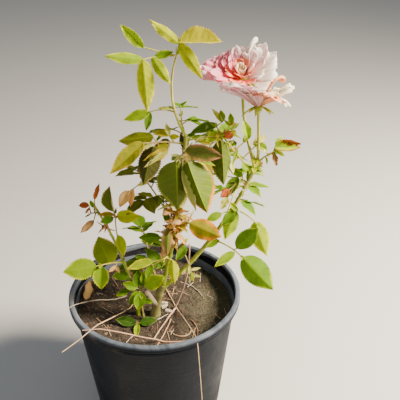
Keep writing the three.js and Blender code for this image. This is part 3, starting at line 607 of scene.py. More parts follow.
# An azimuth of 0 is to the right, 90 away from the viewer and 180 to the left. A leaf has its share along the
# shoot, its stalk's azimuth, rise, climb and length, its blades, and its tints where they aren't the shoot's.
# A blade has its share along the stalk, azimuth, rise and length, and its width, roll and fold where they
# aren't the usual ones. Shoots at the back, which the photograph barely shows, grow their leaves by a rule.
SPRAYS = {
    "top_shoot": {
        "on": "center_cane", "at": 1, "azimuth": 187, "rise": 60, "climb": 50, "length": 119,
        "radii": (2.1, 1.2), "tint": "young", "face": (275, 25), "slim": 0.42, "leaves": [
            (0.32, 176, 22, -46, 36, [(1, 188, -14, 38, 0.4, 6, 0.3), (1, 250, -58, 26, 0.4)], "lime green"),
            (0.98, 184, 16, 0, 44, [(1, 154, 37, 43, 0.34, -16, 0.4)], "lime"),
            (0.98, 205, 11, -20, 47, [
                (1, 188, 10, 48, 0.32, 10, -0.3), (1, 279, -68, 66, 0.36, 16, -0.5),
                (0.72, 312, -38, 42, 0.36, 10, -0.3), (0.64, 8, 14, 25, 0.44)], "lime young young lime"),
            (1, 350, 78, 0, 15, [
                (1, 160, 34, 49, 0.29, 10, -0.3), (1, 352, 6, 56, 0.56, -44, 0.8),
                (1, 316, -44, 54, 0.34, 14, -0.4)], "young yellow young"),
            (0.36, 190, 24, -20, 5, [(1, 182, 4, 18, 0.3)], "pale"),
        ]},
    "crown_left_spray": {
        "on": "center_cane", "at": 0.95, "azimuth": 197, "rise": 20, "climb": -22, "length": 54,
        "radii": (1.5, 1.1), "tint": "olive", "face": (280, 40), "leaves": [
            (0.95, 205, 10, 0, 10, [(1, 208, -34, 62, 0.4, 8, 0.4)], "golden"),
            (0.78, 150, 55, 0, 9, [(1, 182, -4, 49, 0.46, 10, -0.4)], "olive"),
            (0.8, 250, -20, 0, 9, [(1, 232, -64, 56, 0.56, 4, -0.5)], "shade"),
            (0.3, 160, 50, 0, 12, [
                (1, 172, 10, 24, 0.6, 20, 0.5), (1, 120, 60, 19, 0.4, 0, 0.5),
                (0.8, 330, 16, 16, 0.5, 20, 0.5)],
             "golden pale yellow"),
            (0.42, 262, -30, 0, 7, [(1, 192, -8, 33, 0.5, 0, -0.3)], "golden"),
            (0.42, 120, 30, 0, 4, [(1, 206, -18, 18, 0.6, 0, 0.2)], "shade"),
            (0.45, 262, -40, 0, 12, [(1, 200, -18, 38, 0.42, -30, 0.5), (1, 206, -27, 42, 0.16, 0, 0.3)],
             "golden pale"),
            (0.88, 240, -30, 0, 4, [(1, 195, -14, 21, 0.33)], "pale"),
            (0.74, 185, -88, 56, 90, [
                (1, 218, -44, 28, 0.55, 10, 0.7), (0.93, 256, -56, 26, 0.46, 30, 0.6),
                (0.84, 350, 20, 18, 0.25)],
             "peach peach pale"),
        ]},
    "crown_front_spray": {
        "on": "center_cane", "at": 0.9, "azimuth": 262, "rise": 14, "climb": -20, "length": 20,
        "radii": (1.5, 1.1), "tint": "dark", "face": (280, 30), "leaves": [
            (0.9, 268, -70, 0, 18, [(1, 306, -56, 62, 0.2, 0, 0.4)], "pale"),
            (0.5, 320, 60, 0, 10, [(1, 338, -1, 54, 0.44, 12, 0.3)], "bronze"),
            (0.6, 232, -14, 0, 16, [(1, 278, -72, 70, 0.74, -6, -0.7)], "mixed"),
            (1, 310, -10, 0, 12, [(1, 306, -56, 76, 0.60, 18, -1.0)], "edged"),
            (0.3, 100, 50, -30, 10, [(1, 100, 30, 28, 0.26)], "shade"),
            (0.7, 20, -5, 0, 22, [(1, 326, -44, 38, 0.42, 0, 0.4)], "golden"),
            (0.6, 340, -10, 0, 6, [(1, 345, -8, 42, 0.24, -30, 0.5)], "bright"),
            (0.2, 60, 50, 0, 3, [(1, 20, 46, 18, 0.14)], "pale"),
            (0.1, 80, 60, 0, 8, [(1, 60, 70, 18, 0.4, 0, 0.5)], "peach"),
            (0.4, 200, -10, 0, 6, [(1, 215, -40, 16, 0.25), (1, 190, 10, 14, 0.25)], "pale"),
        ]},
    "crown_right_spray": {
        "on": "center_cane", "at": 0.97, "azimuth": 5, "rise": 14, "climb": -16, "length": 50,
        "radii": (1.5, 1.1), "tint": "young", "face": (290, 40), "leaves": [
            (0.86, 330, -30, 0, 10, [(1, 290, -72, 66, 0.46, 6, -0.9)], "mixed"),
            (0.9, 90, 40, 0, 6, [(1, 216, -32, 23, 0.6, 10, 0.5), (1, 292, -56, 26, 0.4, 0, 0.6)],
             "young golden"),
            (0.55, 250, 10, 0, 3, [(1, 200, -20, 16, 0.4, 30, 0.7)], "pale"),
            (0.62, 90, 60, 0, 3, [(1, 90, 70, 14, 0.4)], "pale"),
            (0.3, 262, -20, 0, 4, [(1, 352, -10, 24, 0.2, 20, 0.5)], "golden"),
        ]},
    "inner_spray": {
        "on": "center_cane", "at": 0.5, "azimuth": 300, "rise": 12, "climb": -12, "length": 30,
        "radii": (1.3, 1), "tint": "bronze", "face": (290, 40), "leaves": [
            (1, 320, 24, 0, 6, [(1, 329, -6, 52, 0.58, 8, -0.3)], "amber"),
            (0.7, 240, 10, 0, 7, [(1, 220, 20, 22, 0.4)], "withered"),
            (0.3, 190, -42, 0, 24, [(1, 268, -66, 44, 0.4, -12, -0.4)]),
            (0.05, 151, 44, -10, 42, [(1, 250, -56, 21, 0.6)], "bright"),
            (0.1, 200, -30, 0, 18, [(1, 120, 55, 24, 0.42)], "green"),
            (0.95, 330, 50, 0, 4, [(1, 20, 60, 20, 0.12)], "peach"),
        ]},
    "fork_spray": {
        "on": "center_cane", "at": 0.22, "azimuth": 250, "rise": 30, "climb": -20, "length": 26,
        "radii": (1.3, 1), "tint": "bright", "face": (280, 40), "leaves": [
            (1, 186, -8, 0, 17, [(1, 196, -6, 40, 0.36, 20, 0.5)], "young"),
            (0.6, 340, -16, 0, 11, [(1, 276, -60, 37, 0.46, 14, -0.4)], "young"),
            (0.3, 200, -60, 0, 20, [(1, 152, 46, 40, 0.46, 10)], "green"),
            (0.1, 160, 80, -30, 35, [(1, 184, 4, 33, 0.5, 8, -0.4), (0.6, 60, 40, 18)], "bright"),
            (0.6, 206, -20, 0, 25, [(1, 238, -40, 21, 0.6)], "green"),
        ]},
    "fork_right_spray": {
        "on": "center_cane", "at": 0.28, "azimuth": 340, "rise": 34, "climb": -20, "length": 16,
        "radii": (1.2, 0.9), "tint": "green", "face": (290, 40), "leaves": [
            (0.9, 350, 20, 0, 3, [(1, 20, 44, 16, 0.4)], "yellow"),
            (1, 350, 0, 0, 9, [(1, 218, -42, 27, 0.5, 10, 0.4)], "green"),
            (1, 335, -58, -20, 52, [
                (1, 350, -10, 15, 0.3), (0.9, 300, -56, 17, 0.26), (0.8, 205, -10, 15, 0.3),
                (0.84, 20, 0, 17, 0.26), (0.96, 250, -50, 16, 0.24),
                (0.7, 270, -40, 14, 0.3)], "pale young pale"),
        ]},
    "right_low_spray": {
        "on": "right_cane", "at": 0.45, "azimuth": 318, "rise": 18, "climb": -40, "length": 62,
        "radii": (1.3, 1), "tint": "bright", "face": (280, 30), "leaves": [
            (1, 322, -30, 0, 4, [(1, 322, -32, 65, 0.6, 10, -0.35)]),
            (0.76, 0, 30, 0, 5, [(1, 343, 53, 51, 0.52, -8, -0.3)]),
            (0.82, 240, 0, 0, 4, [(1, 212, -18, 37, 0.38, 20, 0.5)], "lime"),
            (0.32, 120, 20, 0, 5, [(1, 213, -18, 24, 0.42)], "lime"),
        ]},
    "right_middle_spray": {
        "on": "right_cane", "at": 0.68, "azimuth": 326, "rise": 10, "climb": -50, "length": 46,
        "radii": (1.3, 1), "tint": "bright", "face": (280, 30), "leaves": [
            (0.86, 300, -20, 0, 3, [(1, 316, -61, 57, 0.5, 10, -0.4)], "young"),
            (0.3, 200, 20, 0, 4, [(1, 160, 44, 18, 0.45)], "lime"),
            (0.22, 200, 10, 0, 4, [(1, 236, -52, 47, 0.48, 10, -0.4), (0.6, 208, -36, 33, 0.5, 10, 0.4)],
             "lime green"),
            (0.05, 200, -10, 0, 20, [(1, 200, -16, 26, 0.5)], "lime"),
        ]},
    "right_upper_spray": {
        "on": "right_cane", "at": 0.86, "azimuth": 205, "rise": 26, "climb": -30, "length": 20,
        "radii": (1.2, 1), "tint": "green", "face": (285, 40), "leaves": [
            (0.7, 120, 60, 0, 8, [(1, 220, -44, 37, 0.46, 18, 0.5)]),
            (0.4, 100, 60, 0, 9, [(1, 165, 30, 24, 0.5)], "lime"),
            (1, 215, -30, 0, 14, [(1, 210, -30, 18, 0.6, 0, 0.6), (1, 190, 0, 13, 0.4)], "scorched"),
            (1, 220, -50, 0, 24, [(1, 226, -44, 21, 0.55)], "pale"),
            (0.02, 60, 60, 0, 3, [(1, 80, 70, 16, 0.4, 0, 0.6), (1, 20, 50, 14, 0.4, 0, 0.6)], "lime"),
        ]},
    "right_tip_spray": {
        "on": "right_cane", "at": 0.97, "azimuth": 350, "rise": 66, "climb": -44, "length": 34,
        "radii": (1.4, 1.1), "tint": "young", "face": (290, 45), "leaves": [
            (1, 40, 70, 0, 9, [(1, 348, 6, 37, 0.56, -10, 0.5)], "edged_young"),
            (1, 50, 60, 0, 12, [(1, 30, 44, 16, 0.6)], "lime"),
            (0.9, 20, 40, 0, 4, [(1, 300, -58, 22, 0.36, 0, 0.6)], "withered"),
            (0.75, 120, 60, 0, 8, [(1, 165, 24, 22, 0.62, 0, 0.5)], "lime"),
            (1, 20, 50, 0, 22, [(1, 344, -4, 28, 0.3, 40, 0.7)], "scorched"),
            (1, 40, 50, 0, 5, [(1, 335, -20, 18, 0.45)], "yellow"),
        ]},
    "bud_spray": {
        "on": "right_cane", "at": 0.93, "azimuth": 192, "rise": 50, "climb": 8, "length": 96,
        "radii": (1.5, 1.1), "tint": "young", "face": (275, 40), "leaves": [
            (1, 60, 30, 0, 2, [(1, 178, -14, 41, 0.38, 10, 0.4)], "green"),
            (1, 20, 30, 0, 10, [(1, 150, 48, 24, 0.32, 0, 0.7), (1, 100, 62, 18, 0.56, 0, 0.7)], "pale lime"),
            (0.84, 15, 45, 0, 19, [(1, 100, 68, 17, 0.52, 0, 0.7), (0.9, 165, 40, 12, 0.4)], "lime yellow"),
            (0.75, 10, 30, 0, 14, [(1, 200, -14, 18, 0.66, 0, 0.6)], "scorched"),
            (0.75, 20, 50, 0, 26, [(1, 182, 4, 14, 0.4), (0.5, 300, 20, 14, 0.5)], "peach yellow"),
            (0.5, 10, 40, 0, 26, [(1, 112, 60, 29, 0.5, 0, 0.5), (0.7, 60, 40, 16, 0.5)], "lime"),
            (0.5, 60, 50, 0, 12, [(1, 190, -12, 25, 0.44, 16, 0.5)], "bright"),
            (0.5, 30, 20, 0, 5, [(1, 194, -14, 24, 0.34)], "pale"),
            (0.5, 0, 20, 0, 6, [(1, 236, -50, 26, 0.16)], "lime"),
            (0.35, 200, -20, 0, 14, [(1, 290, -54, 18, 0.38)], "pale"),
            (0.3, 10, 45, 0, 48, [(1, 200, -20, 21, 0.5), (0.6, 60, 10, 14, 0.4)], "pale lime"),
        ]},
    "left_low_spray": {
        "on": "left_cane", "at": 0.5, "azimuth": 222, "rise": 30, "climb": -20, "length": 42,
        "radii": (1.3, 1), "tint": "young", "face": (265, 35), "leaves": [
            (1, 200, 2, 0, 9, [(1, 198, 1, 49, 0.66, 4, -0.3)], "lime"),
            (0.98, 255, -20, 0, 4, [(1, 267, -54, 34, 0.74, 0, 0.3)], "lime"),
            # Painted light: this leaf takes the lit olive tint, olive made lighter.
            (0.45, 190, -12, 0, 8, [(1, 134, 58, 46, 0.86, 0, -0.2)], "lit_olive"),
            (0.35, 262, -30, 0, 6, [(1, 230, -10, 16, 0.4), (1, 300, -20, 14, 0.4)], "peach"),
        ]},
    "left_tall_spray": {
        "on": "left_cane", "at": 0.5, "azimuth": 205, "rise": 78, "climb": 14, "length": 92,
        "radii": (1.3, 1), "tint": "golden", "face": (265, 20), "slim": 0.55, "leaves": [
            (1, 200, 80, 0, 3, [(1, 174, 82, 42, 0.62, -44, 0.8)], "olive"),
            (0.94, 340, 14, 0, 4, [(1, 338, 12, 38, 0.54, 4, 0.3)], "yellow"),
            (0.97, 190, 10, 0, 2, [(1, 184, 4, 21, 0.42)], "amber"),
            (0.93, 210, -10, 0, 3, [(1, 200, -12, 21, 0.6)], "green"),
            (0.58, 320, 10, 0, 3, [(1, 294, -60, 33, 0.52, 14, -0.3)], "young"),
        ]},
    "left_tip_spray": {
        "on": "left_cane", "at": 0.93, "azimuth": 200, "rise": 30, "climb": -40, "length": 14,
        "radii": (1.1, 0.9), "tint": "scorched", "face": (270, 40), "slim": 0.4, "leaves": [
            (0.4, 240, -60, 0, 12, [(1, 212, -32, 27, 0.38)], "withered"),
            (0.5, 90, 70, 0, 20, [(1, 50, 60, 26, 0.26, 0, 0.6)]),
            (0.9, 120, 60, 0, 12, [(1, 182, 4, 16, 0.6, 0, 0.6), (0.7, 240, -20, 12, 0.3)]),
            (0.5, 110, 60, 0, 8, [(1, 140, 50, 13, 0.5)], "lime"),
        ]},
    "base_left_spray": {
        "foot": (-17, -36), "azimuth": 190, "rise": 86, "climb": 6, "length": 66,
        "radii": (1.6, 1.1), "tint": "green", "face": (275, 45), "leaves": [
            (1, 156, 44, -10, 26, [(1, 185, 8, 27, 0.6, 14, 0.4)], "bright"),
            (1, 80, 60, 0, 2, [(1, 112, 60, 28, 0.74, -10, 0.4)], "bright"),
            (0.98, 350, 50, 0, 9, [(1, 358, 28, 36, 0.66, 20, 0.3)], "lime"),
            (0.9, 185, 10, 0, 19, [(1, 198, -12, 23, 0.5)], "bright"),
            (0.9, 262, 20, 0, 5, [(1, 258, -54, 29, 0.66, -10, 0.4)], "bright"),
            (0.9, 220, 20, 0, 5, [(1, 222, -40, 27, 0.5, 10, 0.4)], "bright"),
            (1, 40, 60, 0, 7, [(1, 70, 58, 22, 0.56)], "lime"),
            (0.96, 200, 30, 0, 8, [(1, 176, 24, 24, 0.56)], "bright"),
            (0.66, 320, 10, 0, 5, [(1, 330, 10, 18, 0.5)], "bright"),
        ]},
    "ground_sprig": {
        "foot": (-24, -45), "azimuth": 260, "rise": 60, "climb": -20, "length": 9,
        "radii": (1.3, 1), "tint": "dark", "face": (270, 60), "leaves": [
            (1, 200, 20, 0, 4, [(1, 178, 14, 33, 0.5)]),
            (1, 350, 20, 0, 4, [(1, 6, 12, 29, 0.5)]),
            (1, 270, 20, 0, 4, [(1, 270, -2, 28, 0.36)], "lime"),
        ]},
    "back_low_spray": {
        "on": "main_stem", "at": 0.7, "azimuth": 112, "rise": 52, "climb": -14, "length": 96,
        "radii": (1.8, 1.1), "tint": "green", "face": (90, 76),
        "grow": {"seed": 3, "stalk": 26, "blade": 40, "pairs": 2, "from": 0.34}},
    "back_left_spray": {
        "on": "center_cane", "at": 0.42, "azimuth": 138, "rise": 52, "climb": -16, "length": 88,
        "radii": (1.7, 1.1), "tint": "olive", "face": (120, 76),
        "grow": {"seed": 1, "stalk": 26, "blade": 40, "pairs": 2, "from": 0.4}},
    "back_right_spray": {
        "on": "center_cane", "at": 0.62, "azimuth": 48, "rise": 50, "climb": -16, "length": 96,
        "radii": (1.7, 1.1), "tint": "green", "face": (70, 76),
        "grow": {"seed": 3, "stalk": 26, "blade": 42, "pairs": 2, "from": 0.34}},
    "back_crown_spray": {
        "on": "center_cane", "at": 0.82, "azimuth": 94, "rise": 54, "climb": -20, "length": 78,
        "radii": (1.6, 1.1), "tint": "bright", "face": (100, 76),
        "grow": {"seed": 2, "stalk": 22, "blade": 40, "pairs": 1, "from": 0.42}},
    "right_back_spray": {
        "on": "right_cane", "at": 0.6, "azimuth": 66, "rise": 40, "climb": -18, "length": 70,
        "radii": (1.5, 1), "tint": "bright", "face": (70, 76),
        "grow": {"seed": 1, "stalk": 24, "blade": 40, "pairs": 1, "from": 0.38}},
}
BLOOMS = {
    "upper_bloom": {
        "on": "right_cane", "at": 0.96, "azimuth": 142, "rise": 66, "climb": 26, "length": 144,
        "radii": (2.2, 2), "nod": (248, 66), "hip": 6},
    "lower_bloom": {
        "on": "right_cane", "at": 1, "azimuth": 255, "rise": 84, "climb": -16, "length": 100,
        "radii": (2.2, 2), "nod": (85, 62), "hip": 5.5},
}
bark = bark_like("ridged bark", BARK_DARK, BARK_LIGHT, red=(0.20, 0.10, 0.04), ridge_depth=0.0007)
worn_bark = bark_like("weathered bark", WORN_DARK, WORN_LIGHT, red=(0.30, 0.18, 0.08), ridge_depth=0.0009)
rind = bark_like(
    "smooth cane rind", CANE_DARK, CANE_LIGHT, red=(0.26, 0.10, 0.05), ridge_depth=0.0002, gloss=0.45)
for name, limb in LIMBS.items():
    limb["places"] = run_of(limb, round(limb["length"] / LIMB_STEP))
    nodes = [other["at"] for other in (*SPRAYS.values(), *BLOOMS.values()) if other.get("on") == name]

    def swollen(shares, limb=limb, nodes=nodes):
        reach = shares * limb["length"]
        radius = tapered(*limb["radii"])(shares)
        radius = radius + limb.get("flare", 0) * np.exp(-reach / FLARE_HEIGHT)
        if "on" in limb:
            radius = radius + COLLAR * np.exp(-((reach / COLLAR_HEIGHT - 1) ** 2))
        for node in nodes:
            away = (shares - node) * limb["length"] / NODE_REACH
            radius = radius * (1 + NODE_SWELL * np.exp(-(away**2)))
        return radius

    woody = name in ("main_stem", "pruned_stub")
    redness = 0.12 if woody else (0.0, 0.25)
    relief, grain = (1.3, 420.0) if woody else (0.35, 200.0)
    finish = worn_bark if name == "pruned_stub" else bark if woody else rind
    piece = paths_mesh(name + "_bark", [sweep_of(limb["places"], swollen, redness)])
    grown(piece, tubes, Sides=LIMB_SIDES, Relief=relief * MM, Grain=grain, Finish=finish)
    hand_over(piece, "stem_bark" if woody else "cane_bark", name)

# The stub's cut face is dried wood, a low disc that stands a little proud of the bark's end, with its edge
# worn round.
CUT_COLOR = (0.42, 0.32, 0.18, 1)
CUT_STEPS = (-0.4, 0.2, 0.5)
CUT_RADII = (4.7, 4.7, 4.2)
cut_place = LIMBS["pruned_stub"]["places"][-1]
cut_wood, tree, shader = finish_of("dried cut wood", 0.2)
shader.inputs["Base Color"].default_value = CUT_COLOR
shader.inputs["Roughness"].default_value = 0.9
cut_points = [cut_place.position + cut_place.forward * step for step in CUT_STEPS]
cut_face = paths_mesh("stub_cut_face", [Sweep(cut_points, CUT_RADII, (0, 0, 0))])
grown(cut_face, tubes, Sides=LIMB_SIDES, Relief=0.2 * MM, Grain=300.0, Finish=cut_wood)
hand_over(cut_face, "stem_bark")

# Prickles stand on the canes in a loose spiral. Each is a hooked horn of rind, broad at its foot, that points
# out and a little down, and is red-brown on this year's wood.
PRICKLE_GAP = 11
PRICKLE_LENGTH = (2.6, 4.6)
PRICKLE_FOOT = 1.5
PRICKLE_SUNK = 0.7
PRICKLE_STRAY = 25
GOLDEN_ANGLE = 137.508
prickles = []
draw = random.Random(4)
for name in ("center_cane", "right_cane", "left_cane"):
    limb = LIMBS[name]
    for i in range(1, int(limb["length"] / PRICKLE_GAP)):
        share = (i + draw.uniform(-0.3, 0.3)) * PRICKLE_GAP / limb["length"]
        place = limb["places"][round(share * (len(limb["places"]) - 1))]
        turn = math.radians(i * GOLDEN_ANGLE + draw.uniform(-PRICKLE_STRAY, PRICKLE_STRAY))
        outward = place.left * math.cos(turn) + place.up * math.sin(turn)
        root = tapered(*limb["radii"])(share) - PRICKLE_SUNK
        reach = draw.uniform(*PRICKLE_LENGTH)
        foot = along(limb["places"], share)
        steps = np.linspace(0, 1, 5)
        hook = [foot + outward * (root + reach * s) - place.forward * reach * 0.5 * s * s for s in steps]
        prickles.append(Sweep(hook, PRICKLE_FOOT * (1 - steps) ** 1.5 + 0.12, 0.35 + 0.5 * steps))
prickle_piece = paths_mesh("prickles", prickles)
grown(prickle_piece, tubes, Sides=8, Relief=0.0, Grain=200.0, Finish=rind)
hand_over(prickle_piece, "cane_bark")

# Dry litter lies where it blew in: long pine needles across the soil and over the rim, a dead twig that
# stands up beside the stem, short scraps, and three lumps of pale wood at the stem's foot. All of it is
# bleached, tan or red-brown.
Needle = namedtuple("Needle", "tint thick foot way length bend leave land droop")
ON_SOIL = (2, 3, 0)
NEEDLES = [
    Needle("tan", 1.0, (-38, 0), 250, 172, -20, 0.05, 0.60, 0),
    Needle("pink", 1.2, (60, -90), 182, 162, 6, 0.25, 0.84, 0),
    Needle("tan", 1.0, (13, 45), 293, 206, -10, 0.30, 0.90, 3.4),
    Needle("bleached", 1.0, (-50, 21), 206, 110, 34, 0.20, 0.95, 0),
    Needle("pink", 1.5, (33, -10), 246, 84, 4, *ON_SOIL),
    Needle("pink", 1.0, (27, -38), 256, 66, -4, *ON_SOIL),
    Needle("bleached", 0.9, (3, -41), 40, 25, 0, *ON_SOIL),
    Needle("tan", 0.9, (32, -73), 310, 46, 170, *ON_SOIL),
    Needle("russet", 0.8, (60, -40), 305, 48, -50, *ON_SOIL),
    Needle("tan", 0.7, (-92, -40), 318, 50, -28, *ON_SOIL),
    Needle("bleached", 0.7, (40, 60), 335, 56, -45, *ON_SOIL),
    Needle("bleached", 4.4, (10, -8), 20, 11, 40, *ON_SOIL),
    Needle("bleached", 3.6, (18, -16), 320, 10, 60, *ON_SOIL),
    Needle("bleached", 3.2, (10, 4), 350, 10, 0, *ON_SOIL),
]
TWIG_FOOT = (32, -10, SOIL_TOP)
DEAD_TWIG = {"azimuth": 10, "rise": 68, "length": 142, "climb": 18, "turn": -95}
TWIG_RADII = (1.7, 1.1)
SCRAPS = 9
SCRAP_HALF = (5, 13)
SCRAP_RADIUS = 0.45
WHOLE_TURN = 6.28
LITTER_COLORS = {
    "tan": ((0.46, 0.29, 0.14), (0.76, 0.55, 0.33), (0.50, 0.22, 0.09)),
    "pink": ((0.48, 0.28, 0.18), (0.80, 0.56, 0.40), (0.50, 0.22, 0.12)),
    "russet": ((0.27, 0.12, 0.06), (0.52, 0.31, 0.19), (0.36, 0.12, 0.05)),
    "bleached": ((0.52, 0.44, 0.33), (0.82, 0.74, 0.60), (0.50, 0.32, 0.18)),
}
NEEDLE_STEPS = 24
NEEDLE_TAPER = 0.45
REST = 1.2


def needle_line(needle):
    """A needle's points: it lies on the soil until leave, meets the rim at land, and hangs beyond the rim."""
    x, y = needle.foot
    top = POT_HEIGHT + REST + needle.thick
    points = []
    for step in range(NEEDLE_STEPS + 1):
        share = step / NEEDLE_STEPS
        lift = min(max((share - needle.leave) / (needle.land - needle.leave), 0), 1)
        inside = math.hypot(x, y) < inner_radius(SOIL_TOP)
        soil_level = soil_height(x, y) if inside else SOIL_TOP + SOIL_BANK
        past = max(0, math.hypot(x, y) - RIM_RADIUS)
        height = soil_level + REST + (top - soil_level - REST) * lift - past * needle.droop
        points.append(np.array([x, y, height]))
        way = math.radians(needle.way + needle.bend * share)
        x += math.cos(way) * needle.length / NEEDLE_STEPS
        y += math.sin(way) * needle.length / NEEDLE_STEPS
    return points


draw = random.Random(31)
for color, finish in LITTER_COLORS.items():
    strands = []
    for needle in NEEDLES:
        if needle.tint == color:
            line = needle_line(needle)
            taper = needle.thick * (1 - NEEDLE_TAPER * np.linspace(0, 1, len(line)))
            strands.append(Sweep(line, taper, np.full(len(line), draw.uniform(0, 0.4))))
    if color == "pink":
        twig = arc(TWIG_FOOT, **DEAD_TWIG, steps=NEEDLE_STEPS)
        strands.append(sweep_of(twig, tapered(*TWIG_RADII), 0.15))
    for _ in range(SCRAPS):
        turn = draw.uniform(0, WHOLE_TURN)
        reach = inner_radius(SOIL_TOP) * math.sqrt(draw.uniform(0.02, 0.85))
        x, y = reach * math.cos(turn), reach * math.sin(turn)
        way = draw.uniform(0, WHOLE_TURN)
        half = draw.uniform(*SCRAP_HALF)
        spots = [(x + s * half * math.cos(way), y + s * half * math.sin(way)) for s in (-1, 0, 1)]
        spots = [(a, b) for a, b in spots if math.hypot(a, b) < inner_radius(SOIL_TOP) - 5]
        line = [np.array([a, b, soil_height(a, b) + 0.6]) for a, b in spots]
        if len(line) > 1:
            strands.append(Sweep(line, np.full(len(line), SCRAP_RADIUS), np.full(len(line), 0.2)))
    needles = paths_mesh(color + "_needles", strands)
    litter_finish = bark_like(color + " litter", *finish, 0.0002, 0.3)
    grown(needles, tubes, Sides=8, Relief=0.25 * MM, Grain=350.0, Finish=litter_finish)
    hand_over(needles, "soil")

# A leaf is a thin stalk with one to six leaflets: on a whole leaf one at the end and pairs behind it. Each
# leaflet is ovate, toothed, folded along its midrib and quilted between its veins. The young ones are
# yellow-green, the old ones dark, bronzed or dry.
LEAF_WIDTH = 0.6
SHOOT_STEPS = 18
STALK_STEPS = 8
STALK_RADII = (1.1, 0.75)
TOOTH_STEP = 1.7
BLADE_ROWS = (8, 52)
BLADE_COLUMNS = np.array([-1, -0.76, -0.44, -0.12, 0, 0.12, 0.44, 0.76, 1])
BLADE_ENDS = (0.004, 0.996)
BLADE_THICKNESS = 0.4
BLADE_SHARP = 62
BLADE_SUNK = 0.4
FOLD = (0.12, 0.34)
SAG = 0.14
TIP_CURL = (-0.06, 0.10)
ROLL = 14
TWIST = 16
EDGE_WAVE = (0.25, 0.9)
VEINS = 7
VEIN_SLANT = 0.20
VEIN_COLOR = (0.50, 0.60, 0.03)
LIT_GAIN = (1.8, 1.8, 0.8)
GLOW_COLOR = (0.75, 0.78, 0.02)
QUILT = 0.012
TOOTH = (1.04, 0.93)
TOOTH_LEAN = 0.4
FAN = {
    "leaves": 4, "swing": (45, 90), "rise": (24, 46), "climb": (-34, -50), "stalk": (0.85, 1.15),
    "blade": (0.9, 1.1), "pair_at": (0.82, 0.4), "pair_size": (0.82, 0.68), "pair_swing": (62, 76),
    "pair_dip": 8,
}
Blade = namedtuple("Blade", "place length width fold crisp node")


def place_facing(position, azimuth, rise, face, roll=0):
    """A place that looks along an azimuth and rise, turned so that up leans to the face."""
    forward = direction(azimuth, rise)
    left = np.cross(face, forward)
    left /= np.linalg.norm(left)
    up = np.cross(forward, left)
    swing = math.radians(roll)
    rolled = left * math.cos(swing) + up * math.sin(swing)
    return Place(position, forward, rolled, np.cross(forward, rolled))


def seeded(seed):
    """The same sequence for the same seed, from 0 to 1."""
    state = seed
    while True:
        state = state * 16807 % 2147483647
        yield state / 2147483647


def grown_leaves(spray):
    """Leaves on alternate sides of a shoot, the last at its tip, each an end blade and pairs behind it."""
    grow = spray["grow"]
    numbers = seeded(grow["seed"])

    def drawn(name):
        low, high = FAN[name]
        return low + (high - low) * next(numbers)

    leaves = []
    for i in range(FAN["leaves"]):
        last = i == FAN["leaves"] - 1
        azimuth = spray["azimuth"] + (0 if last else (1 if i % 2 else -1) * drawn("swing"))
        rise, climb, reach = drawn("rise"), drawn("climb"), grow["stalk"] * drawn("stalk")
        blades = [(1, azimuth, rise + climb, grow["blade"] * drawn("blade"))]
        for pair in range(grow["pairs"]):
            share = FAN["pair_at"][pair]
            for hand in (-1, 1):
                outward = azimuth + hand * drawn("pair_swing")
                dip = rise + climb * share - FAN["pair_dip"]
                blades.append((share, outward, dip, grow["blade"] * FAN["pair_size"][pair]))
        at = grow["from"] + (1 - grow["from"]) * i / (FAN["leaves"] - 1)
        leaves.append((at, azimuth, rise, climb, reach, blades))
    return leaves


def outline(shares):
    """Half a leaflet's width along it, of 1 at its widest, round at its foot and pointed at its tip."""
    swell = np.sin(np.pi * np.clip(shares, 0, 1) ** 0.8)
    return np.clip(swell, 0, 1) ** (0.6 + 0.5 * shares**2)


def blade_grid(blade, draw):
    """A leaflet's middle surface, station by station from its foot, and each point's place on it."""
    fold = draw.uniform(*FOLD) if blade.fold is None else blade.fold
    curl = draw.uniform(*TIP_CURL) * blade.crisp
    twist = math.radians(draw.uniform(-TWIST, TWIST)) * blade.crisp
    wave = draw.uniform(*EDGE_WAVE) * blade.crisp
    phase, shade = draw.uniform(0, WHOLE_TURN), draw.random()
    rows = 2 * round(min(max(blade.length / TOOTH_STEP, BLADE_ROWS[0]), BLADE_ROWS[1]) / 2)
    stations = np.linspace(*BLADE_ENDS, rows + 1)
    shares, across = np.meshgrid(stations, BLADE_COLUMNS, indexing="ij")
    half = blade.length * blade.width / 2 * outline(shares)
    teeth = np.arange(rows + 1) % 2 == 0
    rim = np.abs(across) == 1
    half = half * np.where(rim, np.where(teeth[:, None], *TOOTH), 1)
    lean = TOOTH_LEAN / rows * rim * teeth[:, None] * (shares < 0.95)
    forward = blade.length * (shares + lean)
    side = across * half
    veins = np.cos(2 * np.pi * VEINS * (shares - VEIN_SLANT * np.abs(across)))
    puff = -QUILT * blade.length * veins * np.minimum(1, np.abs(across) * 2.2) * (1 - across**2 * 0.6)
    ripple = wave * blade.length / 40 * across**2 * np.sin(shares * 15 + phase + np.sign(across) * 1.3)
    lift = np.abs(side) * fold + puff + ripple - SAG * blade.length * shares**2
    lift = lift + curl * blade.length * shares**3
    swing = twist * shares
    lift, side = lift + side * np.sin(swing), side * np.cos(swing)
    place = blade.place
    foot = place.position - place.forward * BLADE_SUNK
    grid = foot + forward[..., None] * place.forward + side[..., None] * place.left
    grid = grid + lift[..., None] * place.up
    return grid, np.stack([across, shares, np.full_like(shares, shade)], axis=-1)


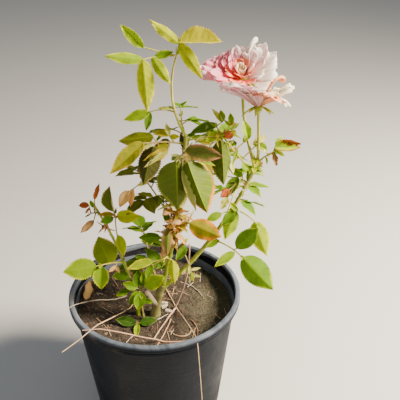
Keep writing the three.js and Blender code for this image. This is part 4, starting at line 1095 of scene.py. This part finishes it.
class Sheets:
    """Thin closed sheets, such as leaflets and petals, joined in one mesh."""

    def __init__(self):
        self.points, self.marks, self.under, self.faces = [], [], [], []
        self.count = 0

    def add(self, grid, marks, thickness):
        """A sheet round a grid of points. Marks are kept on it, and under is 1 on its lower face."""
        down = np.gradient(grid, axis=0)
        over = np.gradient(grid, axis=1)
        normals = np.cross(down, over)
        normals /= np.linalg.norm(normals, axis=-1, keepdims=True) + 1e-9
        rows, columns = grid.shape[:2]
        for side in (0.5, -0.5):
            self.points.append((grid + normals * thickness * side).reshape(-1, 3))
            self.marks.append(marks.reshape(-1, 3))
            self.under.append(np.full(rows * columns, 0.5 - side))
        top = np.arange(rows * columns).reshape(rows, columns) + self.count
        low = top + rows * columns
        self.quads(top[:-1, :-1], top[1:, :-1], top[1:, 1:], top[:-1, 1:])
        self.quads(low[:-1, :-1], low[:-1, 1:], low[1:, 1:], low[1:, :-1])
        self.quads(top[:-1, 0], low[:-1, 0], low[1:, 0], top[1:, 0])
        self.quads(top[:-1, -1], top[1:, -1], low[1:, -1], low[:-1, -1])
        self.quads(top[0, :-1], top[0, 1:], low[0, 1:], low[0, :-1])
        self.quads(top[-1, :-1], low[-1, :-1], low[-1, 1:], top[-1, 1:])
        self.count += 2 * rows * columns

    def quads(self, *corners):
        """Faces from four grids of point numbers, one for each corner."""
        self.faces.append(np.stack([corner.reshape(-1) for corner in corners], axis=-1))

    def piece(self, name, material):
        """All the sheets as one object."""
        mesh = bpy.data.meshes.new(name)
        mesh.from_pydata(np.concatenate(self.points) * MM, [], np.concatenate(self.faces))
        place = mesh.attributes.new("blade", "FLOAT_VECTOR", "POINT")
        place.data.foreach_set("vector", np.concatenate(self.marks).astype(np.float32).reshape(-1))
        under = mesh.attributes.new("under", "FLOAT", "POINT")
        under.data.foreach_set("value", np.concatenate(self.under).astype(np.float32))
        mesh.materials.append(material)
        return placed(name, mesh)


def see_through(tree, shader, share, color):
    """Lets light glow through a thin piece in a colour."""
    glow = add(tree, "ShaderNodeBsdfTranslucent", {"Color": color}).outputs[0]
    both = add(tree, "ShaderNodeMixShader", {0: share, 1: shader.outputs[0], 2: glow}).outputs[0]
    tree.links.new(both, tree.nodes["Material Output"].inputs["Surface"])


def leaf_finish(name, upper, deep, under, edge, rim, glow, gloss=0.16):
    """A leaflet's finish: mottled from upper to deep, paler veins, and an edge that is wide where rim is."""
    material, tree, shader = finish_of(name, gloss)
    mark = add(tree, "ShaderNodeAttribute", attribute_name="blade").outputs["Vector"]
    split = add(tree, "ShaderNodeSeparateXYZ", {0: mark}).outputs
    across = computed(tree, "ABSOLUTE", split["X"])
    start = computed(tree, "SUBTRACT", split["Y"], computed(tree, "MULTIPLY", across, VEIN_SLANT))
    phase = computed(tree, "MULTIPLY", start, 2 * math.pi * VEINS)
    vein = ranged(tree, computed(tree, "COSINE", phase), 0.90, 1)
    rib = ranged(tree, across, 0.045, 0.015)
    lines = computed(tree, "MAXIMUM", computed(tree, "MULTIPLY", vein, 0.45), rib)
    mottle = speckle(tree, 90, 4, 0.6)
    own = computed(tree, "MULTIPLY", split["Z"], 0.5)
    tone = computed(tree, "ADD", own, computed(tree, "MULTIPLY", mottle, 0.6))
    face = mixed(tree, ranged(tree, tone, 0.25, 0.85), deep, upper)
    pale = tuple(0.6 * own_level + 0.4 * level for own_level, level in zip(upper, VEIN_COLOR))
    face = mixed(tree, computed(tree, "MULTIPLY", lines, 0.55), face, pale)
    ragged = computed(tree, "MULTIPLY", computed(tree, "SUBTRACT", mottle, 0.5), 0.5)
    ragged = computed(tree, "ADD", ragged, ranged(tree, split["Y"], 0.55, 1.0, 0, 0.45))
    frayed = computed(tree, "ADD", across, ragged)
    face = mixed(tree, ranged(tree, frayed, 1 - rim, 1.02, 0, 0.9), face, edge)
    turned = add(tree, "ShaderNodeAttribute", attribute_name="under").outputs["Fac"]
    pores = speckle(tree, 1500, 2)
    grooved = computed(tree, "SUBTRACT", pores, computed(tree, "MULTIPLY", lines, 0.8))
    feed(tree, shader, {
        "Base Color": mixed(tree, turned, face, under),
        "Roughness": ranged(tree, turned, 0, 1, 0.56, 0.70),
        "Normal": bumped(tree, grooved, 0.35, 0.0003),
    })
    lit = mixed(tree, 1.0, face, LIT_GAIN, "MULTIPLY")
    see_through(tree, shader, glow, mixed(tree, 0.3, lit, GLOW_COLOR))
    return material


# A dry leaf curls, twists and waves more than a fresh one, by its tint's share.
CRISP = {"withered": 2.6, "scorched": 2.6, "peach": 2.2, "pale": 1.8, "golden": 1.4, "bronze": 1.3}
draw = random.Random(12)
blades_of, sweeps_of = defaultdict(list), defaultdict(list)
for name, spray in SPRAYS.items():
    spray["places"] = run_of(spray, SHOOT_STEPS)
    family = "young" if spray["tint"] in ("young", "bright") else "old"
    sweeps_of[family].append(sweep_of(spray["places"], tapered(*spray["radii"]), (0.1, 0.45)))
    face = direction(*spray["face"])
    leaves = spray["leaves"] if "leaves" in spray else grown_leaves(spray)
    for at, azimuth, rise, climb, reach, blades, *tints in leaves:
        stalk = arc(along(spray["places"], at), azimuth, rise, reach, climb, steps=STALK_STEPS)
        sweeps_of[family].append(sweep_of(stalk, tapered(*STALK_RADII), (0.5, 0.2)))
        tints = tints[0].split() if tints else [spray["tint"]]
        for i, (share, turn, lift, length, *form) in enumerate(blades):
            width, roll, fold = (*form, *(None, None, None)[len(form):])
            width = width or spray.get("slim", LEAF_WIDTH)
            roll = draw.uniform(-ROLL, ROLL) if roll is None else roll
            place = place_facing(along(stalk, share), turn, lift, face, roll)
            tint = tints[min(i, len(tints) - 1)]
            blades_of[tint].append(Blade(place, length, width, fold, CRISP.get(tint, 1), name))

# Small papery scales sit at the foot and the tip of each leafy shoot, green on young wood and olive on old.
# Tufts of them cling to the canes and to some shoots, green, golden or dead. The thickest hangs round the
# middle of the centre cane.
SCALE_WIDTH = 0.3
SCALE_BROAD = (0.7, 1.6)
SCALE_LENGTH = (6, 11)
SCALE_FOLD = (0.2, 0.8)
SCALE_CRISP = 1.4
SCALE_OUT = 0.8
SCALE_TURN = math.radians(137.5)
SCALE_STRAY = 0.4
TUFT_SPREAD = (30, 130)
FOOT_SCALES, FOOT_AT, FOOT_SPREAD = (0.4, 2.7), 0.04, 30
TIP_SCALES, TIP_AT, TIP_SPREAD = (0, 2.1, 4.2), 1, 25
# A tuft has its stem, the stretch that it covers, its number of scales, their lengths and their tints.
TUFTS = [
    ("center_cane", (0.32, 0.56), 62, (13, 34), "withered peach peach golden golden pale amber scorched"),
    ("center_cane", (0.84, 0.93), 12, (8, 18), "golden pale withered"),
    ("left_cane", (0.78, 0.92), 12, (8, 17), "peach scorched peach"),
    ("right_cane", (0.80, 0.86), 8, (8, 16), "lime pale withered"),
    ("right_cane", (0.93, 1.0), 14, (9, 20), "lime young lime pale scorched"),
    ("right_tip_spray", (0.0, 0.8), 10, (10, 20), "lime young pale"),
    ("left_tall_spray", (0.90, 1.0), 6, (7, 13), "withered amber"),
    ("bud_spray", (0.55, 0.9), 8, (7, 13), "lime pale scorched"),
    ("base_left_spray", (0.5, 1.0), 5, (8, 14), "lime bright"),
]


def bearings(heading):
    """A heading's azimuth and rise, in degrees."""
    x, y, z = heading / np.linalg.norm(heading)
    return math.degrees(math.atan2(y, x)), math.degrees(math.asin(np.clip(z, -1, 1)))


def scale(places, at, turn, reach, tint, node, spread):
    """One scale that stands off a stem, leaning along it."""
    place = places[round(at * (len(places) - 1))]
    outward = place.left * math.cos(turn) + place.up * math.sin(turn)
    tilt = math.radians(spread)
    heading = place.forward * math.cos(tilt) + outward * math.sin(tilt)
    skyward = outward + np.array([0, 0, 0.3])
    facing = place_facing(place.position + outward * SCALE_OUT, *bearings(heading), skyward)
    width = SCALE_WIDTH * draw.uniform(*SCALE_BROAD)
    fold, crisp = draw.uniform(*SCALE_FOLD), CRISP.get(tint, 1) * SCALE_CRISP
    blades_of[tint].append(Blade(facing, reach, width, fold, crisp, node))


stems = {**LIMBS, **SPRAYS}
for name, stretch, count, lengths, tints in TUFTS:
    for i in range(count):
        turn = i * SCALE_TURN + draw.uniform(-SCALE_STRAY, SCALE_STRAY)
        at = draw.uniform(*stretch)
        tint = draw.choice(tints.split())
        reach, spread = draw.uniform(*lengths), draw.uniform(*TUFT_SPREAD)
        scale(stems[name]["places"], at, turn, reach, tint, name, spread)
for name, spray in SPRAYS.items():
    tint = "lime" if spray["tint"] in ("young", "bright") else "olive"
    for turn in FOOT_SCALES:
        scale(spray["places"], FOOT_AT, turn, draw.uniform(*SCALE_LENGTH), tint, name, FOOT_SPREAD)
    for turn in TIP_SCALES:
        scale(spray["places"], TIP_AT, turn, draw.uniform(*SCALE_LENGTH), tint, name, TIP_SPREAD)

# A leaf that has dropped lies at the left of the pot. It is dry, tan and curled, and it leans on the inside
# of the wall.
FALLEN_FOOT = (-118, 4, 209)
FALLEN_WAY = (78, 21)
FALLEN_LENGTH, FALLEN_WIDTH, FALLEN_FOLD = 42, 0.36, 0.3
lying = place_facing(np.array(FALLEN_FOOT), *FALLEN_WAY, direction(0, 50))
fallen = Blade(lying, FALLEN_LENGTH, FALLEN_WIDTH, FALLEN_FOLD, CRISP["peach"], "left_low_spray")
blades_of["peach"].append(fallen)

# The leaflets of one tint are one piece. Tints run from the fresh yellow-green of young growth through dark
# old green to amber, bronze and the browns of dead leaf. The shade tint is painted shade, dark for leaves
# that sit in the bush's shade, and the lit olive tint is olive made lighter as painted light. Each has a
# mottled upper side, an underside, an edge that is as wide as rim says, and a share of light that glows
# through.
LeafTint = namedtuple("LeafTint", "slot upper deep under edge rim glow")
LEAF_TINTS = {
    "young": LeafTint(
        "young_leaf", (0.52, 0.56, 0.003), (0.26, 0.38, 0.002), (0.46, 0.52, 0.05), (0.80, 0.70, 0.01),
        rim=0.24, glow=0.44),
    "lime": LeafTint(
        "young_leaf", (0.34, 0.47, 0.002), (0.16, 0.30, 0.002), (0.38, 0.48, 0.05), (0.66, 0.66, 0.01),
        rim=0.20, glow=0.42),
    "edged_young": LeafTint(
        "young_leaf", (0.44, 0.56, 0.006), (0.26, 0.40, 0.004), (0.46, 0.50, 0.08), (0.45, 0.07, 0.01),
        rim=0.35, glow=0.4),
    "pale": LeafTint(
        "young_leaf", (0.70, 0.68, 0.20), (0.50, 0.52, 0.10), (0.68, 0.66, 0.30), (0.72, 0.60, 0.28),
        rim=0.3, glow=0.4),
    "bright": LeafTint(
        "leaf", (0.21, 0.36, 0.002), (0.090, 0.21, 0.002), (0.26, 0.38, 0.05), (0.46, 0.54, 0.02),
        rim=0.08, glow=0.34),
    "green": LeafTint(
        "leaf", (0.145, 0.265, 0.005), (0.060, 0.150, 0.004), (0.22, 0.31, 0.06), (0.32, 0.38, 0.03),
        rim=0.08, glow=0.28),
    "dark": LeafTint(
        "dark_leaf", (0.055, 0.130, 0.008), (0.022, 0.066, 0.005), (0.15, 0.21, 0.07), (0.20, 0.26, 0.05),
        rim=0.08, glow=0.18),
    # Painted shade: a dark tint for leaves that sit in the bush's shade.
    "shade": LeafTint(
        "dark_leaf", (0.090, 0.085, 0.010), (0.036, 0.038, 0.006), (0.14, 0.14, 0.06), (0.20, 0.14, 0.03),
        rim=0.12, glow=0.16),
    "edged": LeafTint(
        "leaf", (0.13, 0.18, 0.001), (0.055, 0.095, 0.001), (0.18, 0.24, 0.05), (0.62, 0.20, 0.01),
        rim=0.12, glow=0.06),
    "mixed": LeafTint(
        "leaf", (0.13, 0.175, 0.010), (0.052, 0.080, 0.007), (0.22, 0.26, 0.07), (0.34, 0.34, 0.03),
        rim=0.08, glow=0.10),
    "olive": LeafTint(
        "dark_leaf", (0.185, 0.205, 0.010), (0.080, 0.105, 0.007), (0.24, 0.25, 0.09), (0.32, 0.24, 0.03),
        rim=0.12, glow=0.30),
    # Painted light: olive made lighter for a leaf that is lit.
    "lit_olive": LeafTint(
        "leaf", (0.33, 0.38, 0.010), (0.18, 0.25, 0.008), (0.34, 0.37, 0.10), (0.56, 0.46, 0.04),
        rim=0.12, glow=0.42),
    "golden": LeafTint(
        "young_leaf", (0.60, 0.50, 0.020), (0.25, 0.27, 0.012), (0.56, 0.50, 0.14), (0.60, 0.36, 0.03),
        rim=0.18, glow=0.4),
    "yellow": LeafTint(
        "young_leaf", (0.62, 0.58, 0.003), (0.32, 0.40, 0.002), (0.56, 0.54, 0.06), (0.74, 0.60, 0.01),
        rim=0.14, glow=0.40),
    "amber": LeafTint(
        "leaf", (0.46, 0.34, 0.012), (0.20, 0.23, 0.010), (0.46, 0.32, 0.09), (0.82, 0.30, 0.01),
        rim=0.50, glow=0.36),
    "bronze": LeafTint(
        "dark_leaf", (0.22, 0.22, 0.030), (0.11, 0.13, 0.016), (0.28, 0.24, 0.09), (0.60, 0.26, 0.12),
        rim=0.48, glow=0.26),
    "peach": LeafTint(
        "dark_leaf", (0.82, 0.60, 0.30), (0.62, 0.38, 0.13), (0.76, 0.58, 0.32), (0.55, 0.24, 0.07),
        rim=0.3, glow=0.38),
    "withered": LeafTint(
        "dark_leaf", (0.62, 0.42, 0.20), (0.36, 0.19, 0.07), (0.55, 0.38, 0.20), (0.36, 0.12, 0.03),
        rim=0.5, glow=0.35),
    "scorched": LeafTint(
        "dark_leaf", (0.66, 0.19, 0.05), (0.34, 0.07, 0.02), (0.52, 0.22, 0.10), (0.20, 0.04, 0.01),
        rim=0.35, glow=0.38),
}
for tint, blades in blades_of.items():
    slot, *colors = LEAF_TINTS[tint]
    sheets = Sheets()
    for blade in blades:
        sheets.add(*blade_grid(blade, draw), BLADE_THICKNESS)
    piece = sheets.piece(tint + "_leaves", leaf_finish(tint + " leaf", *colors))
    hand_over(piece, slot, *sorted({blade.node for blade in blades}), sharp=BLADE_SHARP)

# Shoots and leaf stalks are soft green wood with a red blush, yellow-green on the young sprays and olive on
# the old ones. Each tapers from its foot to its tip.
young_stalk = bark_like(
    "young stalk", (0.28, 0.36, 0.01), (0.56, 0.57, 0.05), (0.46, 0.20, 0.06), 0.0001, 0.4)
old_stalk = bark_like(
    "old stalk", (0.22, 0.24, 0.04), (0.50, 0.46, 0.14), (0.40, 0.16, 0.06), 0.0001, 0.4)
for family, finish in (("young", young_stalk), ("old", old_stalk)):
    stalks = paths_mesh(family + "_stalks", sweeps_of[family])
    grown(stalks, tubes, Sides=9, Relief=0.12 * MM, Grain=300.0, Finish=finish)
    hand_over(stalks, "cane_bark")

# Two open blooms, each a hip, five sepals and loose, ruffled petals that are thin enough to glow. The inner
# petals are small and upright, and the outer ones lie open, with torn tips and their edges rolled back.
PETAL_STATIONS = 22
PETAL_COLUMNS = np.linspace(-1, 1, 19)
PETAL_THICKNESS = 0.5
PETAL_BROAD = 0.42
PETAL_CORE = 9
PETAL_ROOT = 2
PETAL_TUCK = 0.07
PETAL_SEAT = (0.7, -0.5)
PETAL_ROLL = 0.10
PETAL_SHARP = 80
FRILL, RUFFLE, PLEAT = 0.04, 0.014, 0.010
TORN = 0.028
BLOOM_STEPS = 28
BLOOM_NECK = 27
HIP_RINGS = 11
HIP_LONG = 1.3
SEPALS = 5
SEPAL_LENGTH, SEPAL_WIDTH, SEPAL_FOLD, SEPAL_THICKNESS = 24, 0.26, 0.4, 0.7
SEPAL_START = 20
SEPAL_DROOP = (0.1, 0.7)
# A petal has its azimuth, its length and width, how far it is opened, how much it curls and rolls back, how
# pointed it is, and its tint. Azimuth 0 is at the right, 90 away from the viewer and 180 at the left.
PETALS = {
    "upper_bloom": [
        # At the right of this bloom the petals are white and blush, partly their own paler colour and partly
        # painted light on the lamp's side; those at the left are deeper pink.
        (180, 60, 26, 62, 2, 6, 0.03, "lilac"), (172, 56, 32, 60, 2, 10, 0.03, "pink"),
        (164, 53, 32, 58, 4, 10, 0.03, "rose"), (152, 47, 32, 57, 4, 0, 0.03, "pink"),
        (138, 42, 32, 49, 4, 0, 0.02, "rose"), (118, 39, 30, 40, 0, 0, 0.04, "pink"),
        (98, 40, 26, 34, -4, 0, 0.07, "blush"), (76, 37, 30, 36, 2, 0, 0.04, "blush"),
        (56, 44, 32, 46, 2, 0, 0.08, "white"), (38, 50, 32, 54, 2, 0, 0.10, "blush"),
        (20, 52, 32, 62, 4, 10, 0.06, "white"), (4, 46, 34, 70, 6, 10, 0.04, "white"),
        (346, 40, 36, 78, 8, 20, 0.02, "white"), (322, 30, 30, 84, 8, 10, 0.03, "coral"),
        (298, 26, 28, 88, 6, 10, 0.04, "coral"), (272, 24, 28, 86, 6, 10, 0.04, "coral"),
        (246, 27, 28, 84, 6, 10, 0.04, "coral"), (212, 38, 26, 58, 2, 0, 0.04, "rose"),
        (196, 48, 24, 54, 2, 0, 0.03, "pink"),
        (190, 42, 30, 56, 2, 0, 0.02, "rose"), (212, 34, 28, 56, 4, 0, 0.02, "coral"),
        (164, 40, 32, 54, 2, 0, 0.02, "rose"), (136, 35, 30, 40, 2, 0, 0.02, "rose"),
        (108, 33, 30, 30, 2, 0, 0.02, "pink"), (78, 32, 28, 28, 2, 0, 0.03, "blush"),
        (50, 38, 32, 40, 2, 0, 0.04, "blush"), (24, 38, 32, 52, 2, 0, 0.03, "blush"),
        (352, 31, 30, 60, 6, 10, 0.02, "white"), (322, 24, 26, 62, 8, 0, 0.02, "coral"),
        (290, 21, 24, 64, 8, 0, 0.02, "coral"), (256, 22, 24, 60, 8, 0, 0.02, "coral"),
        (226, 26, 24, 54, 4, 0, 0.02, "coral"),
        (184, 28, 28, 42, 2, 0, 0.02, "coral"), (146, 27, 26, 30, 2, 0, 0.02, "rose"),
        (106, 25, 26, 22, 2, 0, 0.02, "coral"), (66, 25, 26, 26, 2, 0, 0.02, "coral"),
        (22, 25, 26, 36, 2, 0, 0.02, "blush"), (340, 20, 24, 42, 4, 0, 0.02, "coral"),
        (296, 17, 22, 40, 2, 0, 0.02, "coral"), (236, 19, 22, 34, 0, 0, 0.02, "coral"),
        (190, 20, 22, 20, -6, 0, 0.0, "heart"), (130, 21, 22, 12, -8, 0, 0.0, "heart"),
        (70, 20, 22, 12, -8, 0, 0.0, "heart"), (10, 17, 20, 20, -10, 0, 0.0, "heart"),
        (290, 14, 20, 18, -16, 0, 0.0, "heart"), (230, 15, 18, 12, -16, 0, 0.0, "heart"),
        (56, 59, 5, 40, -24, 120, 0.10, "white"),
    ],
    "lower_bloom": [
        (186, 60, 46, 52, 12, 10, 0.02, "lilac"), (204, 57, 46, 50, 16, 10, 0.02, "white"),
        (222, 50, 44, 48, 18, 10, 0.02, "lilac"), (242, 42, 42, 44, 22, 20, 0.02, "white"),
        (262, 35, 40, 42, 26, 30, 0.02, "peach"), (284, 33, 38, 42, 30, 30, 0.02, "peach"),
        (306, 36, 36, 44, 34, 40, 0.03, "peach"), (324, 42, 28, 48, 40, 60, 0.03, "peach"),
        (336, 48, 20, 34, 92, 30, 0.03, "cream"), (0, 50, 24, 54, 2, 0, 0.14, "cream"),
        (14, 54, 44, 42, 10, 20, 0.03, "cream"), (34, 66, 22, 24, 4, 110, 0.03, "peach"),
        (48, 42, 36, 42, 10, 10, 0.03, "cream"), (76, 40, 38, 44, 6, 10, 0.02, "cream"),
        (108, 42, 38, 46, 6, 10, 0.02, "blush"), (140, 46, 40, 46, 10, 10, 0.02, "lilac"),
        (164, 48, 42, 48, 16, 10, 0.02, "lilac"),
        (176, 40, 38, 34, 24, 0, 0.02, "white"), (204, 37, 38, 28, 34, 0, 0.02, "white"),
        (234, 31, 36, 26, 40, 0, 0.02, "lilac"), (264, 27, 34, 26, 44, 0, 0.02, "white"),
        (296, 28, 34, 28, 44, 10, 0.02, "cream"), (326, 32, 32, 34, 34, 10, 0.02, "cream"),
        (352, 36, 32, 38, 14, 0, 0.04, "cream"), (22, 35, 32, 30, 10, 10, 0.02, "cream"),
        (60, 33, 34, 26, 4, 0, 0.02, "blush"), (100, 33, 34, 26, 4, 0, 0.02, "blush"),
        (140, 34, 34, 28, 8, 0, 0.02, "blush"),
        (350, 22, 24, 16, 0, 0, 0.0, "peach"), (290, 19, 22, 16, 0, 0, 0.0, "peach"),
        (230, 20, 22, 14, 0, 0, 0.0, "heart"), (170, 22, 22, 14, 0, 0, 0.0, "heart"),
        (110, 23, 22, 12, 0, 0, 0.0, "peach"), (50, 22, 20, 12, -6, 0, 0.0, "heart"),
    ],
}


def petal_grid(axis, azimuth, length, width, opened, curl, back, point, draw):
    """A petal's middle surface. It leans out by opened and by curl more at its tip, which may roll back."""
    rows = -np.cos(np.linspace(0.08, math.pi - 0.10, PETAL_STATIONS + 1))
    shares = (1 + rows) / 2
    shares = (shares - shares[0]) / (1 - shares[0])
    lean = np.radians(opened + curl * shares + back * shares**5)
    steps = np.diff(shares, prepend=0) * length
    out, high = np.cumsum(np.sin(lean) * steps), np.cumsum(np.cos(lean) * steps)
    full = (1 - rows**4) ** 0.25
    share, across = np.meshgrid(shares, PETAL_COLUMNS, indexing="ij")
    wide = width * (1 - PETAL_BROAD + 2 * PETAL_BROAD * share) / 2
    aside = across * full[:, None] * wide
    phase, waves = draw.uniform(0, WHOLE_TURN), draw.uniform(2.2, 4.2)
    frill = length * FRILL * share**2 * np.sin(across * waves * 2 + phase + share * 2)
    frill = frill + length * RUFFLE * share**4 * np.sin(across * 17 + phase * 3)
    pleat = length * PLEAT * np.sin(across * 9 + phase) * (1 - share) * share * 4
    rolled = -PETAL_ROLL * length * np.abs(across) ** 3 * share**1.5 * max(0, (opened - 10) / 50)
    push = frill + pleat + rolled
    notches = np.sin(across * 8 + phase * 2) + 0.7 * np.sin(across * 19 + phase) + 0.5 * np.sin(across * 41)
    tip = length * (point * np.exp(-((across / 0.42) ** 2)) + TORN * notches) * share**6
    leaned = lean[:, None]
    turn = math.radians(azimuth) + aside / (PETAL_CORE + out[:, None])
    radius = PETAL_ROOT + out[:, None] + PETAL_TUCK * aside - push * np.cos(leaned) + tip * np.sin(leaned)
    rise = high[:, None] + push * np.sin(leaned) + tip * np.cos(leaned)
    right, away = radius * np.cos(turn), radius * np.sin(turn)
    grid = axis.position + rise[..., None] * axis.forward
    grid = grid + right[..., None] * axis.left + away[..., None] * axis.up
    return grid[:, ::-1], np.stack([across[:, ::-1], share, np.full_like(share, draw.random())], axis=-1)


def petal_finish(name, foot, middle, edge, glow, share):
    """A petal's finish, coloured along its length, with fine lines and a glow of its own share."""
    material, tree, shader = finish_of(name, 0.35)
    mark = add(tree, "ShaderNodeAttribute", attribute_name="blade").outputs["Vector"]
    split = add(tree, "ShaderNodeSeparateXYZ", {0: mark}).outputs
    lines = add(tree, "ShaderNodeMapping", {"Vector": mark, "Scale": (26, 1.2, 9)}).outputs[0]
    veins = add(tree, "ShaderNodeTexNoise", {"Vector": lines, "Scale": 1.0, "Detail": 3.0}).outputs["Fac"]
    mottle = speckle(tree, 60, 3, 0.5)
    drift = computed(tree, "MULTIPLY", computed(tree, "SUBTRACT", mottle, 0.5), 0.5)
    reach = computed(tree, "ADD", split["Y"], drift)
    face = mixed(tree, ranged(tree, reach, 0.05, 0.45), foot, middle)
    face = mixed(tree, ranged(tree, reach, 0.62, 1.05), face, edge)
    aside = computed(tree, "ADD", computed(tree, "ABSOLUTE", split["X"]), drift)
    face = mixed(tree, ranged(tree, aside, 0.8, 1.05, 0, 0.7), face, edge)
    face = mixed(tree, ranged(tree, veins, 0.45, 0.75, 0, 0.35), face, middle, "MULTIPLY")
    feed(tree, shader, {
        "Base Color": face,
        "Roughness": ranged(tree, veins, 0.3, 0.7, 0.5, 0.65),
        "Normal": bumped(tree, veins, 0.25, 0.0003),
    })
    see_through(tree, shader, share, mixed(tree, 0.5, face, glow))
    return material


draw = random.Random(8)
calyx, calyx_sweeps = Sheets(), []
petals_of = defaultdict(Sheets)
for name, bloom in BLOOMS.items():
    bloom["places"] = run_of(bloom, BLOOM_STEPS)[:BLOOM_NECK]
    calyx_sweeps.append(sweep_of(bloom["places"], tapered(*bloom["radii"]), (0.3, 0.15)))
    nod = place_at(bloom["places"][-1].position, *bloom["nod"])
    right = np.array([1, 0, 0]) - nod.forward[0] * nod.forward
    right /= np.linalg.norm(right)
    axis = Place(nod.position, nod.forward, right, np.cross(nod.forward, right))
    shares = np.linspace(-1, 1, HIP_RINGS)
    hip_points = [axis.position + axis.forward * share * bloom["hip"] * HIP_LONG for share in shares]
    hip_radii = bloom["hip"] * np.sqrt(1 - 0.985 * shares**2)
    calyx_sweeps.append(Sweep(hip_points, hip_radii, np.full(HIP_RINGS, 0.1)))
    for i in range(SEPALS):
        turn = math.radians(i * 360 / SEPALS + SEPAL_START)
        outward = axis.left * math.cos(turn) + axis.up * math.sin(turn)
        heading = outward * 0.9 - axis.forward * draw.uniform(*SEPAL_DROOP)
        start = axis.position + axis.forward * 2 + outward * (bloom["hip"] - 1.5)
        place = place_facing(start, *bearings(heading), axis.forward)
        sepal = Blade(place, SEPAL_LENGTH, SEPAL_WIDTH, SEPAL_FOLD, 1, name)
        calyx.add(*blade_grid(sepal, draw), SEPAL_THICKNESS)
    for azimuth, length, width, opened, curl, back, point, tint in PETALS[name]:
        seat = bloom["hip"] * (PETAL_SEAT[0] + (PETAL_SEAT[1] - PETAL_SEAT[0]) * opened / 80)
        seated = axis._replace(position=axis.position + axis.forward * seat)
        grid = petal_grid(seated, azimuth, length, width, opened, curl, back, point, draw)
        petals_of[name, tint].add(*grid, PETAL_THICKNESS)

# The petals of one bloom and one tint are one piece. A petal is coloured at its foot, its middle and its
# edge, and a share of the light glows through it.
PetalTint = namedtuple("PetalTint", "slot foot middle edge glow share")
PETAL_TINTS = {
    "heart": PetalTint(
        "pink_petal", (0.95, 0.62, 0.34), (0.96, 0.80, 0.56), (0.96, 0.90, 0.72), (1.0, 0.72, 0.42), 0.4),
    "coral": PetalTint(
        "pink_petal", (0.95, 0.25, 0.08), (0.94, 0.24, 0.14), (0.95, 0.45, 0.32), (1.0, 0.25, 0.13), 0.4),
    "rose": PetalTint(
        "pink_petal", (0.94, 0.18, 0.11), (0.95, 0.27, 0.38), (0.96, 0.56, 0.67), (1.0, 0.27, 0.38), 0.45),
    "pink": PetalTint(
        "pink_petal", (0.95, 0.24, 0.18), (0.95, 0.29, 0.44), (0.96, 0.60, 0.72), (1.0, 0.30, 0.44), 0.45),
    "blush": PetalTint(
        "pink_petal", (0.95, 0.44, 0.28), (0.97, 0.76, 0.75), (0.98, 0.91, 0.90), (1.0, 0.80, 0.74), 0.5),
    "lilac": PetalTint(
        "pale_petal", (0.95, 0.46, 0.42), (0.94, 0.54, 0.64), (0.96, 0.80, 0.86), (1.0, 0.58, 0.66), 0.45),
    "white": PetalTint(
        "pale_petal", (0.96, 0.66, 0.48), (0.98, 0.93, 0.88), (0.98, 0.97, 0.95), (1.0, 0.94, 0.86), 0.5),
    "cream": PetalTint(
        "pale_petal", (0.96, 0.74, 0.40), (0.98, 0.91, 0.72), (0.98, 0.96, 0.88), (1.0, 0.90, 0.68), 0.5),
    "peach": PetalTint(
        "pale_petal", (0.96, 0.60, 0.22), (0.95, 0.45, 0.22), (0.96, 0.72, 0.52), (1.0, 0.45, 0.18), 0.4),
}
for (name, tint), sheets in petals_of.items():
    slot, *colors = PETAL_TINTS[tint]
    piece = sheets.piece(name + "_" + tint + "_petals", petal_finish(tint + " petal", *colors))
    hand_over(piece, slot, name, sharp=PETAL_SHARP)
sepal_finish = leaf_finish(
    "sepal", (0.42, 0.50, 0.03), (0.24, 0.34, 0.02), (0.44, 0.50, 0.12), (0.40, 0.18, 0.05),
    rim=0.2, glow=0.3)
hand_over(calyx.piece("sepals", sepal_finish), "young_leaf", *BLOOMS, sharp=BLADE_SHARP)
flower_stalks = paths_mesh("flower_stalks", calyx_sweeps)
grown(flower_stalks, tubes, Sides=18, Relief=0.2 * MM, Grain=300.0, Finish=young_stalk)
hand_over(flower_stalks, "cane_bark", *BLOOMS)

# The part stands on a pale matt floor in a plain studio. A small warm lamp high at the right stands for the
# sun, and a weak broad one in front and an even, cool sky fill the shade.
FLOOR_HALF = 6
KEY_LAMP = {
    "place": (1.5, -0.15, 1.45), "aim": (0.02, 0, 0.35), "size": 0.6, "power": 190, "color": (1, 0.88, 0.70)}
FRONT_LAMP = {
    "place": (-1.2, -1.9, 1.9), "aim": (0, 0, 0.3), "size": 2.2, "power": 12, "color": (0.93, 0.96, 1)}
FLOOR_COLOR = (0.62, 0.61, 0.59, 1)
SKY_COLOR, SKY_STRENGTH = (0.86, 0.92, 1, 1), 0.26
corners = [(x * FLOOR_HALF, y * FLOOR_HALF, 0) for x, y in ((-1, -1), (1, -1), (1, 1), (-1, 1))]
floor_mesh = bpy.data.meshes.new("floor")
floor_mesh.from_pydata(corners, [], [(0, 1, 2, 3)])
floor = placed("floor", floor_mesh)
material, tree, shader = finish_of("pale floor", 0.2)
shader.inputs["Base Color"].default_value = FLOOR_COLOR
shader.inputs["Roughness"].default_value = 0.9
floor_mesh.materials.append(material)


def soft_light(name, place, aim, size, power, color):
    """A square lamp that faces its aim."""
    light = bpy.data.lights.new(name, "AREA")
    light.size = size
    light.energy = power
    light.color = color
    lamp = placed(name, light)
    lamp.location = place
    lamp.rotation_euler = (Vector(aim) - Vector(place)).to_track_quat("-Z", "Y").to_euler()


soft_light("key", **KEY_LAMP)
soft_light("front", **FRONT_LAMP)
world = bpy.data.worlds.new("studio")
world.use_nodes = True
background = world.node_tree.nodes["Background"]
background.inputs["Color"].default_value = SKY_COLOR
background.inputs["Strength"].default_value = SKY_STRENGTH
bpy.context.scene.world = world

# The camera stands where the photograph was taken from, as worked out from the pot's rim and base: in front,
# a little to the right, and looking down on the bush.
CAMERA_PLACE = (0.0739, -0.7808, 0.8446)
CAMERA_PITCH = 29.56
CAMERA_LENS = 53.73
camera = placed("camera", bpy.data.cameras.new("camera"))
camera.location = CAMERA_PLACE
camera.rotation_euler = (math.radians(90 - CAMERA_PITCH), 0, 0)
camera.data.lens = CAMERA_LENS
bpy.context.scene.camera = camera
